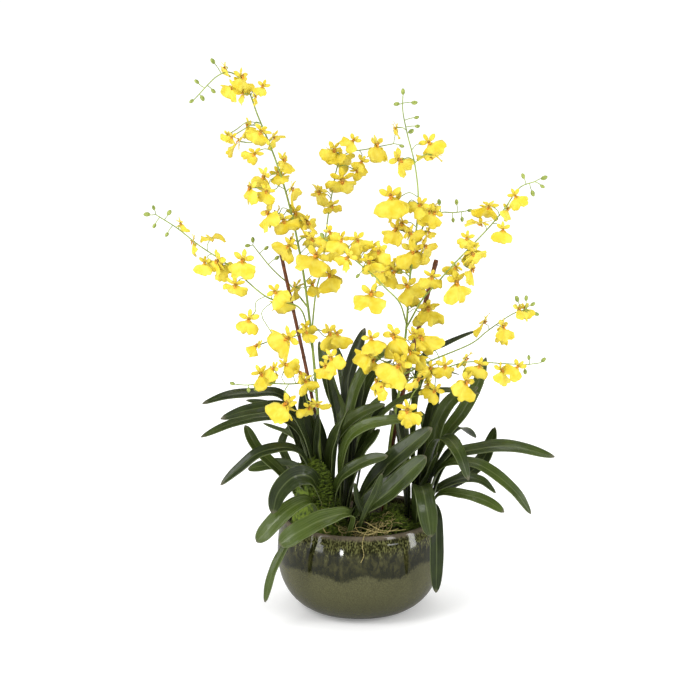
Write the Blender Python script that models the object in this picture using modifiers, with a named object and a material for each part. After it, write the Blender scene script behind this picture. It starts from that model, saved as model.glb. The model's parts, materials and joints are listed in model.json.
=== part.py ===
"""Potted oncidium orchid arrangement: a round glazed bowl, growing medium, moss, two bamboo stakes,
strap leaves in two clumps and two branched spikes of yellow blossoms.

Units are metres, +Z is up, the viewer stands on the -Y side, and the origin is the centre of the
bowl's flat foot.
"""
import math

import bmesh
import bpy
from mathutils import Matrix, Vector

# --- driving dimensions ---------------------------------------------------------------------------
GAP = 0.0003                 # clearance between pieces that rest on or stand beside each other

BOWL_HEIGHT = 0.128          # foot to the top of the rim
BELLY_RADIUS = 0.111         # widest outside radius
BELLY_HEIGHT = 0.078         # height of the widest place
RIM_RADIUS = 0.104           # outside radius just under the rim's rounding
FOOT_RADIUS = 0.052          # flat ring the bowl stands on
BOWL_WALL = 0.007
BOWL_FLOOR = 0.008
BOWL_SIDES = 32

SOIL_BELOW_RIM = 0.010       # planting level under the rim
SOIL_SIDE_GAP = 0.001

STAKE_LEFT_RADIUS = 0.0025
STAKE_RIGHT_RADIUS = 0.0032

LEAF_THICKNESS = 0.0014
LEAF_STATIONS = 7            # lengthwise divisions of a leaf
LEAF_FOLD = 0.34             # how far a leaf's edges rise over its midrib, as a share of half its width
LEAF_ROOT_CLEARANCE = 0.0015
LEAF_TWIST_SHARE = 0.45      # share of a leaf's length over which it turns into its spin

STEM_BASE_RADIUS = 0.0026    # main stem at the soil
STEM_TIP_RADIUS = 0.0008
BRANCH_BASE_RADIUS = 0.0013
BRANCH_JOINT_GAP = 0.0008    # a branch starts this far off the main stem's skin
PEDICEL_RADIUS = 0.0006
BLOSSOM_THICKNESS = 0.0018
BUD_LENGTH = 0.0085
BUD_WIDTH = 0.0058

# Plant coordinates below are laid out for a bowl of this mouth, belly overhang and planting level. They
# widen with the mouth and rise with the level, and what hangs outside moves out with the belly.
LAYOUT_MOUTH_RADIUS = 0.097
LAYOUT_OVERHANG = 0.007
LAYOUT_SOIL_LEVEL = 0.118
OVERHANG_EASE = 0.020        # plan distance over which a leaf moves out from the mouth to the belly

SOIL_LEVEL = BOWL_HEIGHT - SOIL_BELOW_RIM
MOUTH_SCALE = (RIM_RADIUS - BOWL_WALL) / LAYOUT_MOUTH_RADIUS
EXTRA_OVERHANG = BELLY_RADIUS - RIM_RADIUS - LAYOUT_OVERHANG
RISE = SOIL_LEVEL - LAYOUT_SOIL_LEVEL

# --- where things stand ---------------------------------------------------------------------------
CROWN_LEFT = (-0.034, -0.022)
CROWN_RIGHT = (0.072, -0.006)

STAKE_LEFT = [(-0.046, 0.020, 0.118), (-0.056, 0.018, 0.236), (-0.070, 0.016, 0.318),
              (-0.090, 0.014, 0.414), (-0.104, 0.012, 0.482)]
STAKE_RIGHT = [(0.032, 0.024, 0.118), (0.050, 0.022, 0.250), (0.096, 0.018, 0.450),
               (0.101, 0.017, 0.471)]

# Each moss clump: centre x, centre y, half width, half depth, height over the soil.
MOSS = {
    "moss_left": (-0.075, -0.030, 0.010, 0.018, 0.026),
    "moss_front": (0.036, -0.068, 0.027, 0.013, 0.020),
}

# Each leaf: crown, distance of its foot from the crown's centre, greatest width, spin its blade turns
# into about its own run in degrees, and the places it passes through on the way to its tip.
LEAVES = {
    "leaf_left_01": (CROWN_LEFT, 0.018, 0.018, -26, [
        (-0.101, -0.002, 0.290), (-0.143, -0.014, 0.298), (-0.176, -0.025, 0.297), (-0.207, -0.030, 0.288)]),
    "leaf_left_02": (CROWN_LEFT, 0.012, 0.017, -36, [
        (-0.092, -0.062, 0.288), (-0.141, -0.076, 0.291), (-0.179, -0.084, 0.281)]),
    "leaf_left_03": (CROWN_LEFT, 0.025, 0.017, -6, [
        (-0.095, 0.026, 0.250), (-0.114, 0.034, 0.268), (-0.154, 0.048, 0.274)]),
    "leaf_left_04": (CROWN_LEFT, 0.026, 0.018, -25, [
        (-0.079, -0.033, 0.248), (-0.111, -0.040, 0.272), (-0.165, -0.048, 0.266), (-0.207, -0.058, 0.250)]),
    "leaf_left_05": (CROWN_LEFT, 0.030, 0.016, -34, [
        (-0.101, 0.000, 0.179), (-0.138, 0.014, 0.215), (-0.155, 0.022, 0.245)]),
    "leaf_left_06": (CROWN_LEFT, 0.020, 0.018, -28, [
        (-0.082, -0.074, 0.236), (-0.127, -0.088, 0.238), (-0.156, -0.096, 0.218), (-0.179, -0.102, 0.198)]),
    "leaf_left_07": (CROWN_LEFT, 0.036, 0.016, 0, [
        (-0.070, 0.040, 0.200), (-0.084, 0.046, 0.220), (-0.132, 0.070, 0.236)]),
    "leaf_left_08": (CROWN_LEFT, 0.010, 0.021, -36, [
        (-0.064, -0.014, 0.211), (-0.074, -0.010, 0.250), (-0.075, -0.006, 0.306)]),
    "leaf_left_09": (CROWN_LEFT, 0.046, 0.019, -42, [
        (-0.081, 0.040, 0.174), (-0.112, 0.058, 0.180), (-0.155, 0.080, 0.168)]),
    "leaf_left_10": (CROWN_LEFT, 0.054, 0.014, 20, [
        (-0.090, 0.060, 0.165), (-0.108, 0.085, 0.202), (-0.095, 0.098, 0.228)]),
    "leaf_left_11": (CROWN_LEFT, 0.034, 0.026, -65, [
        (-0.062, -0.079, 0.200), (-0.084, -0.095, 0.207), (-0.105, -0.104, 0.188), (-0.112, -0.110, 0.162)]),
    "leaf_left_12": (CROWN_LEFT, 0.044, 0.024, -28, [
        (-0.066, -0.084, 0.171), (-0.091, -0.100, 0.165), (-0.114, -0.110, 0.146), (-0.133, -0.114, 0.125)]),
    "leaf_left_13": (CROWN_LEFT, 0.060, 0.027, -32, [
        (-0.013, -0.097, 0.157), (-0.045, -0.113, 0.156), (-0.077, -0.124, 0.143), (-0.103, -0.131, 0.127)]),
    "leaf_left_14": (CROWN_LEFT, 0.047, 0.013, -16, [
        (-0.064, -0.080, 0.146), (-0.089, -0.103, 0.126), (-0.112, -0.106, 0.085), (-0.124, -0.104, 0.040)]),
    "leaf_left_15": (CROWN_LEFT, 0.012, 0.020, 0, [
        (-0.024, 0.004, 0.258), (-0.038, 0.014, 0.295), (-0.054, 0.030, 0.359)]),
    "leaf_left_16": (CROWN_LEFT, 0.034, 0.016, 20, [
        (-0.017, 0.050, 0.269), (-0.025, 0.060, 0.320), (-0.032, 0.066, 0.346)]),
    "leaf_left_17": (CROWN_LEFT, 0.022, 0.019, 4, [
        (-0.016, 0.022, 0.266), (-0.015, 0.031, 0.308), (-0.005, 0.037, 0.341), (0.007, 0.042, 0.375)]),
    "leaf_left_18": (CROWN_LEFT, 0.010, 0.018, 42, [
        (-0.013, -0.012, 0.270), (-0.001, -0.012, 0.316), (0.020, -0.014, 0.347), (0.047, -0.018, 0.362)]),
    "leaf_left_19": (CROWN_LEFT, 0.028, 0.017, 8, [
        (-0.001, 0.040, 0.262), (0.018, 0.056, 0.306), (0.044, 0.064, 0.326)]),
    "leaf_left_20": (CROWN_LEFT, 0.042, 0.016, -6, [
        (0.002, 0.062, 0.226), (0.020, 0.084, 0.258), (0.039, 0.102, 0.273)]),
    "leaf_left_21": (CROWN_LEFT, 0.004, 0.020, 50, [
        (-0.038, -0.030, 0.226), (-0.021, -0.031, 0.259), (0.007, -0.033, 0.279), (0.033, -0.037, 0.289)]),
    "leaf_left_22": (CROWN_LEFT, 0.014, 0.018, 50, [
        (-0.018, -0.048, 0.239), (0.004, -0.054, 0.263), (0.034, -0.058, 0.272), (0.065, -0.062, 0.275)]),
    "leaf_left_23": (CROWN_LEFT, 0.024, 0.018, 55, [
        (-0.028, -0.062, 0.190), (-0.010, -0.073, 0.212), (0.014, -0.080, 0.226), (0.036, -0.084, 0.232)]),
    "leaf_left_24": (CROWN_LEFT, 0.026, 0.027, 70, [
        (0.008, -0.050, 0.176), (0.029, -0.062, 0.206), (0.055, -0.079, 0.236), (0.092, -0.092, 0.271)]),
    "leaf_left_25": (CROWN_LEFT, 0.042, 0.027, 72, [
        (0.010, -0.076, 0.156), (0.040, -0.096, 0.190), (0.066, -0.108, 0.220), (0.084, -0.114, 0.239)]),
    "leaf_left_26": (CROWN_LEFT, 0.062, 0.012, -14, [
        (0.008, -0.100, 0.160), (0.020, -0.115, 0.190), (0.028, -0.122, 0.219)]),
    "leaf_left_27": (CROWN_LEFT, 0.020, 0.011, 30, [
        (0.020, -0.036, 0.262), (0.060, -0.046, 0.300), (0.110, -0.050, 0.311), (0.156, -0.055, 0.308)]),
    "leaf_right_01": (CROWN_RIGHT, 0.007, 0.020, 30, [
        (0.113, 0.018, 0.227), (0.139, 0.028, 0.261), (0.160, 0.035, 0.299), (0.171, 0.040, 0.335)]),
    "leaf_right_02": (CROWN_RIGHT, 0.014, 0.021, 60, [
        (0.100, -0.008, 0.238), (0.107, -0.008, 0.263), (0.124, -0.010, 0.290), (0.156, -0.014, 0.306)]),
    "leaf_right_03": (CROWN_RIGHT, 0.020, 0.014, 36, [
        (0.091, 0.034, 0.200), (0.090, 0.048, 0.235), (0.084, 0.058, 0.256)]),
    "leaf_right_04": (CROWN_RIGHT, 0.026, 0.013, 6, [
        (0.076, 0.038, 0.285), (0.088, 0.052, 0.334), (0.118, 0.060, 0.350), (0.158, 0.068, 0.366)]),
    "leaf_right_05": (CROWN_RIGHT, 0.008, 0.014, 4, [
        (0.076, 0.008, 0.292), (0.090, 0.020, 0.321), (0.108, 0.028, 0.320), (0.134, 0.034, 0.313)]),
    "leaf_right_06": (CROWN_RIGHT, 0.018, 0.021, 36, [
        (0.120, -0.026, 0.212), (0.162, -0.034, 0.228), (0.198, -0.038, 0.232), (0.256, -0.046, 0.220)]),
    "leaf_right_07": (CROWN_RIGHT, 0.016, 0.018, 28, [
        (0.110, -0.050, 0.208), (0.146, -0.068, 0.218), (0.171, -0.076, 0.208), (0.201, -0.084, 0.184),
        (0.222, -0.088, 0.155)]),
    "leaf_right_08": (CROWN_RIGHT, 0.008, 0.021, 10, [
        (0.098, -0.042, 0.236), (0.113, -0.068, 0.251), (0.127, -0.092, 0.238), (0.139, -0.108, 0.206)]),
    "leaf_right_09": (CROWN_RIGHT, 0.018, 0.022, 28, [
        (0.097, 0.010, 0.151), (0.128, 0.026, 0.160), (0.168, 0.046, 0.188), (0.180, 0.052, 0.212),
        (0.186, 0.055, 0.234)]),
    "leaf_right_10": (CROWN_RIGHT, 0.019, 0.018, 26, [
        (0.095, -0.005, 0.152), (0.116, -0.002, 0.169), (0.146, 0.002, 0.177), (0.166, 0.003, 0.172),
        (0.184, 0.003, 0.156)]),
    "leaf_right_11": (CROWN_RIGHT, 0.020, 0.016, 30, [
        (0.106, -0.050, 0.170), (0.137, -0.072, 0.176), (0.166, -0.084, 0.170), (0.187, -0.090, 0.158)]),
    "leaf_right_12": (CROWN_RIGHT, 0.026, 0.025, 0, [
        (0.078, -0.070, 0.186), (0.081, -0.096, 0.190), (0.085, -0.114, 0.172), (0.091, -0.121, 0.134)]),
    "leaf_right_13": (CROWN_RIGHT, 0.026, 0.018, 0, [
        (0.093, -0.062, 0.158), (0.098, -0.090, 0.155), (0.099, -0.106, 0.115), (0.099, -0.107, 0.054)]),
    "leaf_back_01": (CROWN_LEFT, 0.062, 0.018, 0, [
        (-0.070, 0.090, 0.210), (-0.085, 0.135, 0.225), (-0.095, 0.165, 0.200)]),
    "leaf_back_02": (CROWN_RIGHT, 0.045, 0.020, 0, [
        (0.060, 0.090, 0.215), (0.055, 0.140, 0.235), (0.048, 0.180, 0.205)]),
    "leaf_back_03": (CROWN_RIGHT, 0.027, 0.018, 0, [
        (0.108, 0.060, 0.200), (0.140, 0.100, 0.222), (0.165, 0.128, 0.200)]),
}

# Each spray: the stem's route, its blossoms and its buds. A blossom row holds x, y, z, the width of its
# lip, and its yaw, tilt and roll in degrees; with all three 0 it faces -Y with the lip hanging down.
# Positive yaw turns it towards +X, positive tilt bows it and positive roll swings the lip to -X.
# A branch names the spike it grows from and the height where it leaves it.
SPIKES = {
    "flower_spike_left": dict(
        parent=None, leaves_at=None,
        route=[(-0.036, 0.002, 0.118), (-0.050, 0.000, 0.175), (-0.057, 0.000, 0.292), (-0.067, 0.000, 0.403),
               (-0.078, 0.003, 0.480), (-0.094, 0.008, 0.553), (-0.110, 0.010, 0.605), (-0.132, 0.010, 0.661),
               (-0.148, 0.010, 0.701), (-0.167, 0.010, 0.716), (-0.182, 0.010, 0.712),
               (-0.213, 0.010, 0.682)],
        blossoms=[
            (-0.173, 0.005, 0.723, 0.018, -20, 10, 20), (-0.152, 0.000, 0.711, 0.026, 10, 0, -10),
            (-0.163, 0.013, 0.697, 0.024, -35, 20, 30), (-0.125, 0.008, 0.698, 0.022, 35, 10, -20),
            (-0.149, -0.004, 0.690, 0.018, -60, 0, 10), (-0.135, 0.004, 0.686, 0.018, 50, 10, -10),
            (-0.127, -0.006, 0.642, 0.030, -10, 0, 15), (-0.136, 0.000, 0.613, 0.026, -25, 20, 0),
            (-0.155, 0.004, 0.628, 0.028, -75, 0, 0), (-0.165, 0.006, 0.634, 0.020, -40, 10, 20),
            (-0.145, 0.016, 0.648, 0.022, -15, -10, 10), (-0.112, 0.012, 0.633, 0.022, 30, 10, -20),
            (-0.099, 0.004, 0.604, 0.026, 70, 0, 0), (-0.124, 0.004, 0.583, 0.028, -5, 0, -10),
            (-0.141, -0.004, 0.569, 0.032, -20, 0, 20), (-0.120, -0.012, 0.566, 0.024, 10, 20, 0),
            (-0.107, 0.012, 0.586, 0.024, 25, 10, -10), (-0.089, 0.004, 0.567, 0.026, 65, 0, 0),
            (-0.119, -0.002, 0.536, 0.030, -45, 10, 0), (-0.099, -0.010, 0.528, 0.030, 0, 0, 10),
            (-0.084, 0.012, 0.535, 0.028, 15, 0, -10), (-0.069, 0.000, 0.521, 0.028, 30, 10, -20),
            (-0.092, -0.002, 0.493, 0.028, -20, 0, 10), (-0.062, -0.004, 0.503, 0.028, 20, 0, -10),
            (-0.057, -0.014, 0.481, 0.038, 5, 0, 0), (-0.037, 0.000, 0.486, 0.022, 40, 10, -20),
            (-0.039, -0.002, 0.454, 0.028, 20, 0, -10), (-0.063, 0.008, 0.440, 0.022, 10, 10, 0),
            (-0.084, 0.000, 0.438, 0.026, -70, 0, 0)],
        buds=[(-0.189, 0.010, 0.730), (-0.210, 0.010, 0.704), (-0.189, 0.012, 0.692), (-0.217, 0.010, 0.679),
              (-0.203, 0.008, 0.683)]),
    "flower_branch_left_low": dict(
        parent="flower_spike_left", leaves_at=0.352,
        route=[(-0.068, -0.022, 0.385), (-0.079, -0.034, 0.417), (-0.119, -0.040, 0.431),
               (-0.167, -0.040, 0.472), (-0.207, -0.038, 0.499), (-0.235, -0.036, 0.521),
               (-0.262, -0.034, 0.538)],
        blossoms=[
            (-0.229, -0.040, 0.528, 0.018, -20, 10, 10), (-0.214, -0.034, 0.503, 0.024, -30, 0, 20),
            (-0.189, -0.040, 0.508, 0.026, 0, 75, 0), (-0.182, -0.044, 0.480, 0.032, -70, 0, 0),
            (-0.200, -0.036, 0.476, 0.020, -40, 10, 10), (-0.160, -0.044, 0.449, 0.030, -65, 0, 10),
            (-0.150, -0.046, 0.481, 0.032, 15, 10, -20), (-0.143, -0.046, 0.404, 0.030, -45, 0, 20),
            (-0.109, -0.050, 0.441, 0.026, 10, 0, 0), (-0.104, -0.040, 0.425, 0.028, -10, 10, 10),
            (-0.133, -0.042, 0.368, 0.022, -30, 0, 10), (-0.092, -0.056, 0.381, 0.036, -5, 0, 5),
            (-0.070, -0.050, 0.387, 0.024, 25, 0, -10), (-0.040, -0.046, 0.386, 0.028, 60, 0, -20)],
        buds=[(-0.264, -0.036, 0.547), (-0.273, -0.034, 0.538), (-0.244, -0.038, 0.541),
              (-0.264, -0.032, 0.523), (-0.248, -0.034, 0.512)]),
    "flower_branch_left_buds": dict(
        parent="flower_spike_left", leaves_at=0.412,
        route=[(-0.094, 0.034, 0.436), (-0.106, 0.036, 0.446), (-0.120, 0.037, 0.460), (-0.132, 0.038, 0.475),
               (-0.142, 0.038, 0.488)],
        blossoms=[],
        buds=[(-0.149, 0.038, 0.487), (-0.142, 0.038, 0.495), (-0.124, 0.038, 0.484),
              (-0.110, 0.037, 0.471)]),
    "flower_branch_left_lowest": dict(
        parent="flower_spike_left", leaves_at=0.306,
        route=[(-0.062, -0.055, 0.322), (-0.090, -0.072, 0.324), (-0.123, -0.074, 0.325),
               (-0.146, -0.074, 0.323), (-0.160, -0.074, 0.324)],
        blossoms=[
            (-0.127, -0.080, 0.340, 0.028, -20, 0, -15), (-0.110, -0.082, 0.347, 0.022, 0, 0, 10),
            (-0.096, -0.078, 0.351, 0.022, 10, 10, 0), (-0.078, -0.082, 0.342, 0.024, 20, 0, -10),
            (-0.093, -0.090, 0.302, 0.034, 0, 0, 10), (-0.055, -0.082, 0.300, 0.026, 25, 20, -25),
            (-0.037, -0.078, 0.360, 0.028, 15, 0, -10)],
        buds=[(-0.164, -0.074, 0.325), (-0.143, -0.076, 0.317), (-0.134, -0.070, 0.317)]),
    "flower_branch_left_inner": dict(
        parent="flower_spike_left", leaves_at=0.372,
        route=[(-0.058, 0.052, 0.425), (-0.050, 0.060, 0.457), (-0.043, 0.062, 0.517), (-0.038, 0.062, 0.547),
               (-0.022, 0.062, 0.604), (0.011, 0.062, 0.613), (0.045, 0.062, 0.620)],
        blossoms=[
            (-0.008, 0.054, 0.625, 0.022, 0, 0, 20), (-0.034, 0.056, 0.613, 0.026, -20, 0, 10),
            (-0.027, 0.064, 0.600, 0.026, 10, 0, -10), (0.003, 0.056, 0.597, 0.022, 20, 10, 0),
            (0.022, 0.054, 0.620, 0.028, 10, 0, -20), (-0.023, 0.050, 0.574, 0.038, 5, 0, 0),
            (-0.053, 0.052, 0.558, 0.030, -20, 0, 10), (-0.037, 0.054, 0.539, 0.026, -5, 10, 0)],
        buds=[(0.047, 0.062, 0.638), (0.056, 0.062, 0.617), (-0.040, 0.070, 0.528)]),
    "flower_spike_right": dict(
        parent=None, leaves_at=None,
        route=[(0.034, 0.002, 0.118), (0.041, 0.000, 0.229), (0.053, 0.000, 0.300), (0.062, 0.000, 0.390),
               (0.065, 0.000, 0.443), (0.073, 0.000, 0.507), (0.076, 0.000, 0.554), (0.071, 0.000, 0.599),
               (0.061, 0.000, 0.638), (0.055, 0.000, 0.668), (0.055, 0.000, 0.686)],
        blossoms=[
            (0.047, 0.000, 0.646, 0.020, -30, 0, 10), (0.089, 0.004, 0.627, 0.028, 15, 0, -10),
            (0.093, 0.000, 0.610, 0.028, 10, 70, 0), (0.050, -0.004, 0.605, 0.034, -5, 0, 0),
            (0.040, -0.006, 0.558, 0.036, -15, 0, 10), (0.079, -0.008, 0.547, 0.026, 10, 0, 0),
            (0.097, 0.000, 0.536, 0.026, 25, 0, -10), (0.056, 0.000, 0.523, 0.028, -20, 0, 10),
            (0.064, -0.010, 0.511, 0.026, 0, 10, 0), (0.088, 0.002, 0.511, 0.020, 35, 0, -10),
            (0.068, -0.006, 0.488, 0.034, -10, 0, 0), (0.084, 0.004, 0.492, 0.028, 20, 0, -10),
            (0.055, 0.000, 0.472, 0.028, -15, 0, 10), (0.045, 0.004, 0.458, 0.026, -30, 10, 20),
            (0.031, -0.002, 0.459, 0.024, -40, 0, 20), (0.062, -0.008, 0.440, 0.034, -5, 0, 0),
            (0.080, -0.008, 0.436, 0.024, 20, 10, -10), (0.090, 0.000, 0.411, 0.034, 10, 0, 0)],
        buds=[(0.055, 0.000, 0.692), (0.047, 0.000, 0.676), (0.070, 0.000, 0.678), (0.073, 0.002, 0.659),
              (0.074, -0.002, 0.648), (0.066, 0.004, 0.641)]),
    "flower_branch_right_buds": dict(
        parent="flower_spike_right", leaves_at=0.490,
        route=[(0.090, 0.034, 0.522), (0.108, 0.040, 0.531), (0.125, 0.040, 0.531), (0.141, 0.040, 0.533)],
        blossoms=[(0.098, 0.042, 0.530, 0.020, 10, 0, 0)],
        buds=[(0.105, 0.040, 0.545), (0.128, 0.040, 0.545), (0.124, 0.040, 0.521), (0.136, 0.040, 0.522),
              (0.146, 0.040, 0.534)]),
    "flower_branch_right_high": dict(
        parent="flower_spike_right", leaves_at=0.385,
        route=[(0.082, -0.030, 0.428), (0.096, -0.040, 0.446), (0.116, -0.042, 0.470), (0.131, -0.042, 0.486),
               (0.147, -0.042, 0.503), (0.168, -0.042, 0.526), (0.184, -0.042, 0.546),
               (0.204, -0.042, 0.574), (0.222, -0.042, 0.581)],
        blossoms=[
            (0.197, -0.048, 0.564, 0.022, 10, 0, -10), (0.188, -0.038, 0.546, 0.020, 30, 10, 0),
            (0.164, -0.044, 0.550, 0.028, -10, 70, 0), (0.154, -0.046, 0.529, 0.030, -15, 65, 0),
            (0.182, -0.048, 0.521, 0.022, 20, 0, -20), (0.137, -0.044, 0.509, 0.022, -60, 0, 0),
            (0.143, -0.050, 0.491, 0.030, 5, 0, 0), (0.143, -0.046, 0.469, 0.030, 15, 10, 0),
            (0.124, -0.040, 0.471, 0.022, -15, 0, 0), (0.123, -0.050, 0.453, 0.034, 0, 20, 0),
            (0.092, -0.048, 0.460, 0.026, -10, 0, 0)],
        buds=[(0.207, -0.042, 0.588), (0.234, -0.042, 0.586), (0.232, -0.042, 0.575),
              (0.220, -0.042, 0.566)]),
    "flower_branch_right_crossing": dict(
        parent="flower_spike_right", leaves_at=0.390,
        route=[(0.048, -0.062, 0.432), (0.031, -0.070, 0.450), (0.020, -0.070, 0.462), (0.006, -0.070, 0.474),
               (-0.018, -0.070, 0.494), (-0.031, -0.070, 0.503), (-0.045, -0.070, 0.511)],
        blossoms=[
            (-0.038, -0.070, 0.521, 0.022, -20, 0, 10), (-0.024, -0.074, 0.512, 0.026, 0, 0, 0),
            (-0.004, -0.070, 0.511, 0.026, 65, 0, 0), (-0.015, -0.074, 0.489, 0.028, -10, 0, 10),
            (0.011, -0.074, 0.484, 0.026, 10, 0, -10), (0.024, -0.070, 0.496, 0.028, 20, 10, -20),
            (0.014, -0.078, 0.442, 0.036, 0, 0, 0)],
        buds=[(-0.048, -0.070, 0.516), (-0.003, -0.070, 0.464)]),
    "flower_branch_right_low": dict(
        parent="flower_spike_right", leaves_at=0.318,
        route=[(0.094, -0.014, 0.342), (0.149, -0.016, 0.367), (0.167, -0.016, 0.382), (0.200, -0.016, 0.405),
               (0.216, -0.016, 0.411)],
        blossoms=[
            (0.207, -0.020, 0.412, 0.022, 15, 0, -10), (0.162, -0.018, 0.396, 0.028, 60, 0, -20),
            (0.187, -0.022, 0.390, 0.026, 10, 0, 0), (0.190, -0.014, 0.377, 0.022, 20, 10, -10)],
        buds=[(0.205, -0.016, 0.425), (0.217, -0.016, 0.426), (0.226, -0.016, 0.418), (0.231, -0.016, 0.405),
              (0.223, -0.014, 0.404)]),
    "flower_branch_right_lowest": dict(
        parent="flower_spike_right", leaves_at=0.296,
        route=[(0.070, -0.042, 0.326), (0.100, -0.058, 0.338), (0.137, -0.060, 0.350), (0.182, -0.058, 0.348),
               (0.214, -0.056, 0.346), (0.233, -0.055, 0.348)],
        blossoms=[
            (0.204, -0.060, 0.344, 0.024, 10, 0, 0), (0.182, -0.062, 0.340, 0.026, 20, 10, 0),
            (0.137, -0.066, 0.326, 0.032, 0, 0, 0), (0.137, -0.060, 0.356, 0.026, 10, 70, 0),
            (0.154, -0.062, 0.347, 0.026, 15, 0, -10), (0.109, -0.066, 0.347, 0.028, 5, 0, 0),
            (0.090, -0.068, 0.345, 0.022, 0, 0, 10), (0.097, -0.070, 0.315, 0.026, 0, 10, 0),
            (0.043, -0.084, 0.391, 0.036, -5, 0, 0), (0.077, -0.082, 0.389, 0.036, 5, 0, 0),
            (0.014, -0.080, 0.385, 0.028, -15, 0, 10), (0.012, -0.084, 0.367, 0.028, -5, 10, 0),
            (0.064, -0.088, 0.371, 0.030, 5, 0, 0), (0.050, -0.090, 0.353, 0.036, -5, 10, 0),
            (0.030, -0.088, 0.325, 0.026, -15, 0, 10), (0.074, -0.086, 0.335, 0.028, 10, 0, 0),
            (0.061, -0.094, 0.296, 0.034, 0, 0, 0)],
        buds=[(0.237, -0.055, 0.352), (0.218, -0.055, 0.355), (0.214, -0.054, 0.336)]),
}

# Half of a blossom's outline, from the notch of the lip up to the top sepal: angle from +X in degrees
# and radius as a share of the lip's width. The other half mirrors it.
BLOSSOM_OUTLINE = [(-90, 0.58), (-62, 0.70), (-32, 0.50), (0, 0.17), (25, 0.44), (57, 0.15), (90, 0.43)]


# --- helpers --------------------------------------------------------------------------------------
def clear_scene():
    for obj in list(bpy.data.objects):
        bpy.data.objects.remove(obj, do_unlink=True)


def new_collection(name):
    collection = bpy.data.collections.new(name)
    bpy.context.scene.collection.children.link(collection)
    return collection


def material(name, colour, roughness, metallic=0.0):
    mat = bpy.data.materials.new(name)
    mat.use_nodes = True
    shader = mat.node_tree.nodes["Principled BSDF"]
    shader.inputs["Base Color"].default_value = (*colour, 1.0)
    shader.inputs["Roughness"].default_value = roughness
    shader.inputs["Metallic"].default_value = metallic
    mat.diffuse_color = (*colour, 1.0)
    return mat


def add_object(name, mesh, mat, collection):
    obj = bpy.data.objects.new(name, mesh)
    obj.data.materials.append(mat)
    collection.objects.link(obj)
    return obj


def placed(point):
    """A layout point moved with the bowl: its mouth, its belly's overhang and its planting level."""
    plan = Vector((point[0], point[1], 0.0)) * MOUTH_SCALE
    outside = (plan.length - RIM_RADIUS) / OVERHANG_EASE
    if outside > 0:
        plan += plan.normalized() * EXTRA_OVERHANG * min(outside, 1.0)
    return plan + Vector((0.0, 0.0, point[2] + RISE))


def smooth_route(points, divisions):
    """Centripetal Catmull-Rom curve through the points, with equal divisions on each span."""
    knots = [2 * points[0] - points[1], *points, 2 * points[-1] - points[-2]]
    route = []
    for p0, p1, p2, p3 in zip(knots, knots[1:], knots[2:], knots[3:]):
        t1 = math.sqrt((p1 - p0).length)
        t2 = t1 + math.sqrt((p2 - p1).length)
        t3 = t2 + math.sqrt((p3 - p2).length)
        for step in range(divisions):
            t = t1 + (t2 - t1) * step / divisions
            a1 = p0.lerp(p1, t / t1)
            a2 = p1.lerp(p2, (t - t1) / (t2 - t1))
            a3 = p2.lerp(p3, (t - t2) / (t3 - t2))
            b1 = a1.lerp(a2, t / t2)
            b2 = a2.lerp(a3, (t - t1) / (t3 - t1))
            route.append(b1.lerp(b2, (t - t1) / (t2 - t1)))
    route.append(points[-1].copy())
    return route


def stations(route, count):
    """Points at equal distances along a route."""
    lengths = [0.0]
    for a, b in zip(route, route[1:]):
        lengths.append(lengths[-1] + (b - a).length)
    places = []
    segment = 0
    for index in range(count + 1):
        wanted = lengths[-1] * index / count
        while segment < len(route) - 2 and lengths[segment + 1] < wanted:
            segment += 1
        part = (wanted - lengths[segment]) / (lengths[segment + 1] - lengths[segment])
        places.append(route[segment].lerp(route[segment + 1], part))
    return places


def tube_object(name, route, radii, mat, collection, sides_level=1):
    """A tapered tube along a route: a poly curve with a round bevel and filled ends."""
    curve = bpy.data.curves.new(name, "CURVE")
    curve.dimensions = "3D"
    curve.bevel_depth = 1.0
    curve.bevel_resolution = sides_level
    curve.use_fill_caps = True
    spline = curve.splines.new("POLY")
    spline.points.add(len(route) - 1)
    for point, place, radius in zip(spline.points, route, radii):
        point.co = (*place, 1.0)
        point.radius = radius
    return add_object(name, curve, mat, collection)


def as_mesh(obj, name):
    """The evaluated mesh of a curve object, with its loose caps welded; the curve is removed."""
    graph = bpy.context.evaluated_depsgraph_get()
    mesh = bpy.data.meshes.new_from_object(obj.evaluated_get(graph))
    mesh.name = name
    bm = bmesh.new()
    bm.from_mesh(mesh)
    bm.transform(obj.matrix_world)
    bmesh.ops.remove_doubles(bm, verts=bm.verts, dist=0.00001)
    bm.to_mesh(mesh)
    bm.free()
    bpy.data.objects.remove(obj, do_unlink=True)
    return mesh


# --- bowl and what fills it -----------------------------------------------------------------------
def bowl_radius(height):
    """Outside radius of the bowl at a height: a full belly that closes in to the rim and the foot."""
    if height >= BELLY_HEIGHT:
        share = (height - BELLY_HEIGHT) / (BOWL_HEIGHT - BELLY_HEIGHT)
        return BELLY_RADIUS - (BELLY_RADIUS - RIM_RADIUS) * share ** 2
    share = (BELLY_HEIGHT - height) / BELLY_HEIGHT
    return FOOT_RADIUS + (BELLY_RADIUS - FOOT_RADIUS) * math.sqrt(1 - share ** 2.2)


def turned(name, profile, mat, collection):
    """A solid turned about Z from a profile that runs from the axis out, down the outside and back."""
    mesh = bpy.data.meshes.new(name)
    bm = bmesh.new()
    verts = [bm.verts.new((radius, 0.0, height)) for radius, height in profile]
    for first, second in zip(verts, verts[1:]):
        bm.edges.new((first, second))
    bm.to_mesh(mesh)
    bm.free()
    obj = add_object(name, mesh, mat, collection)
    screw = obj.modifiers.new("turn", "SCREW")
    screw.axis = "Z"
    screw.steps = BOWL_SIDES
    screw.render_steps = BOWL_SIDES
    screw.use_merge_vertices = True
    screw.merge_threshold = 0.00001
    return obj


def inner_heights():
    """Heights of the points that shape the inside wall, from the floor up to the planting level."""
    return [BOWL_FLOOR + (SOIL_LEVEL - BOWL_FLOOR) * index / 5 for index in range(6)]


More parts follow.
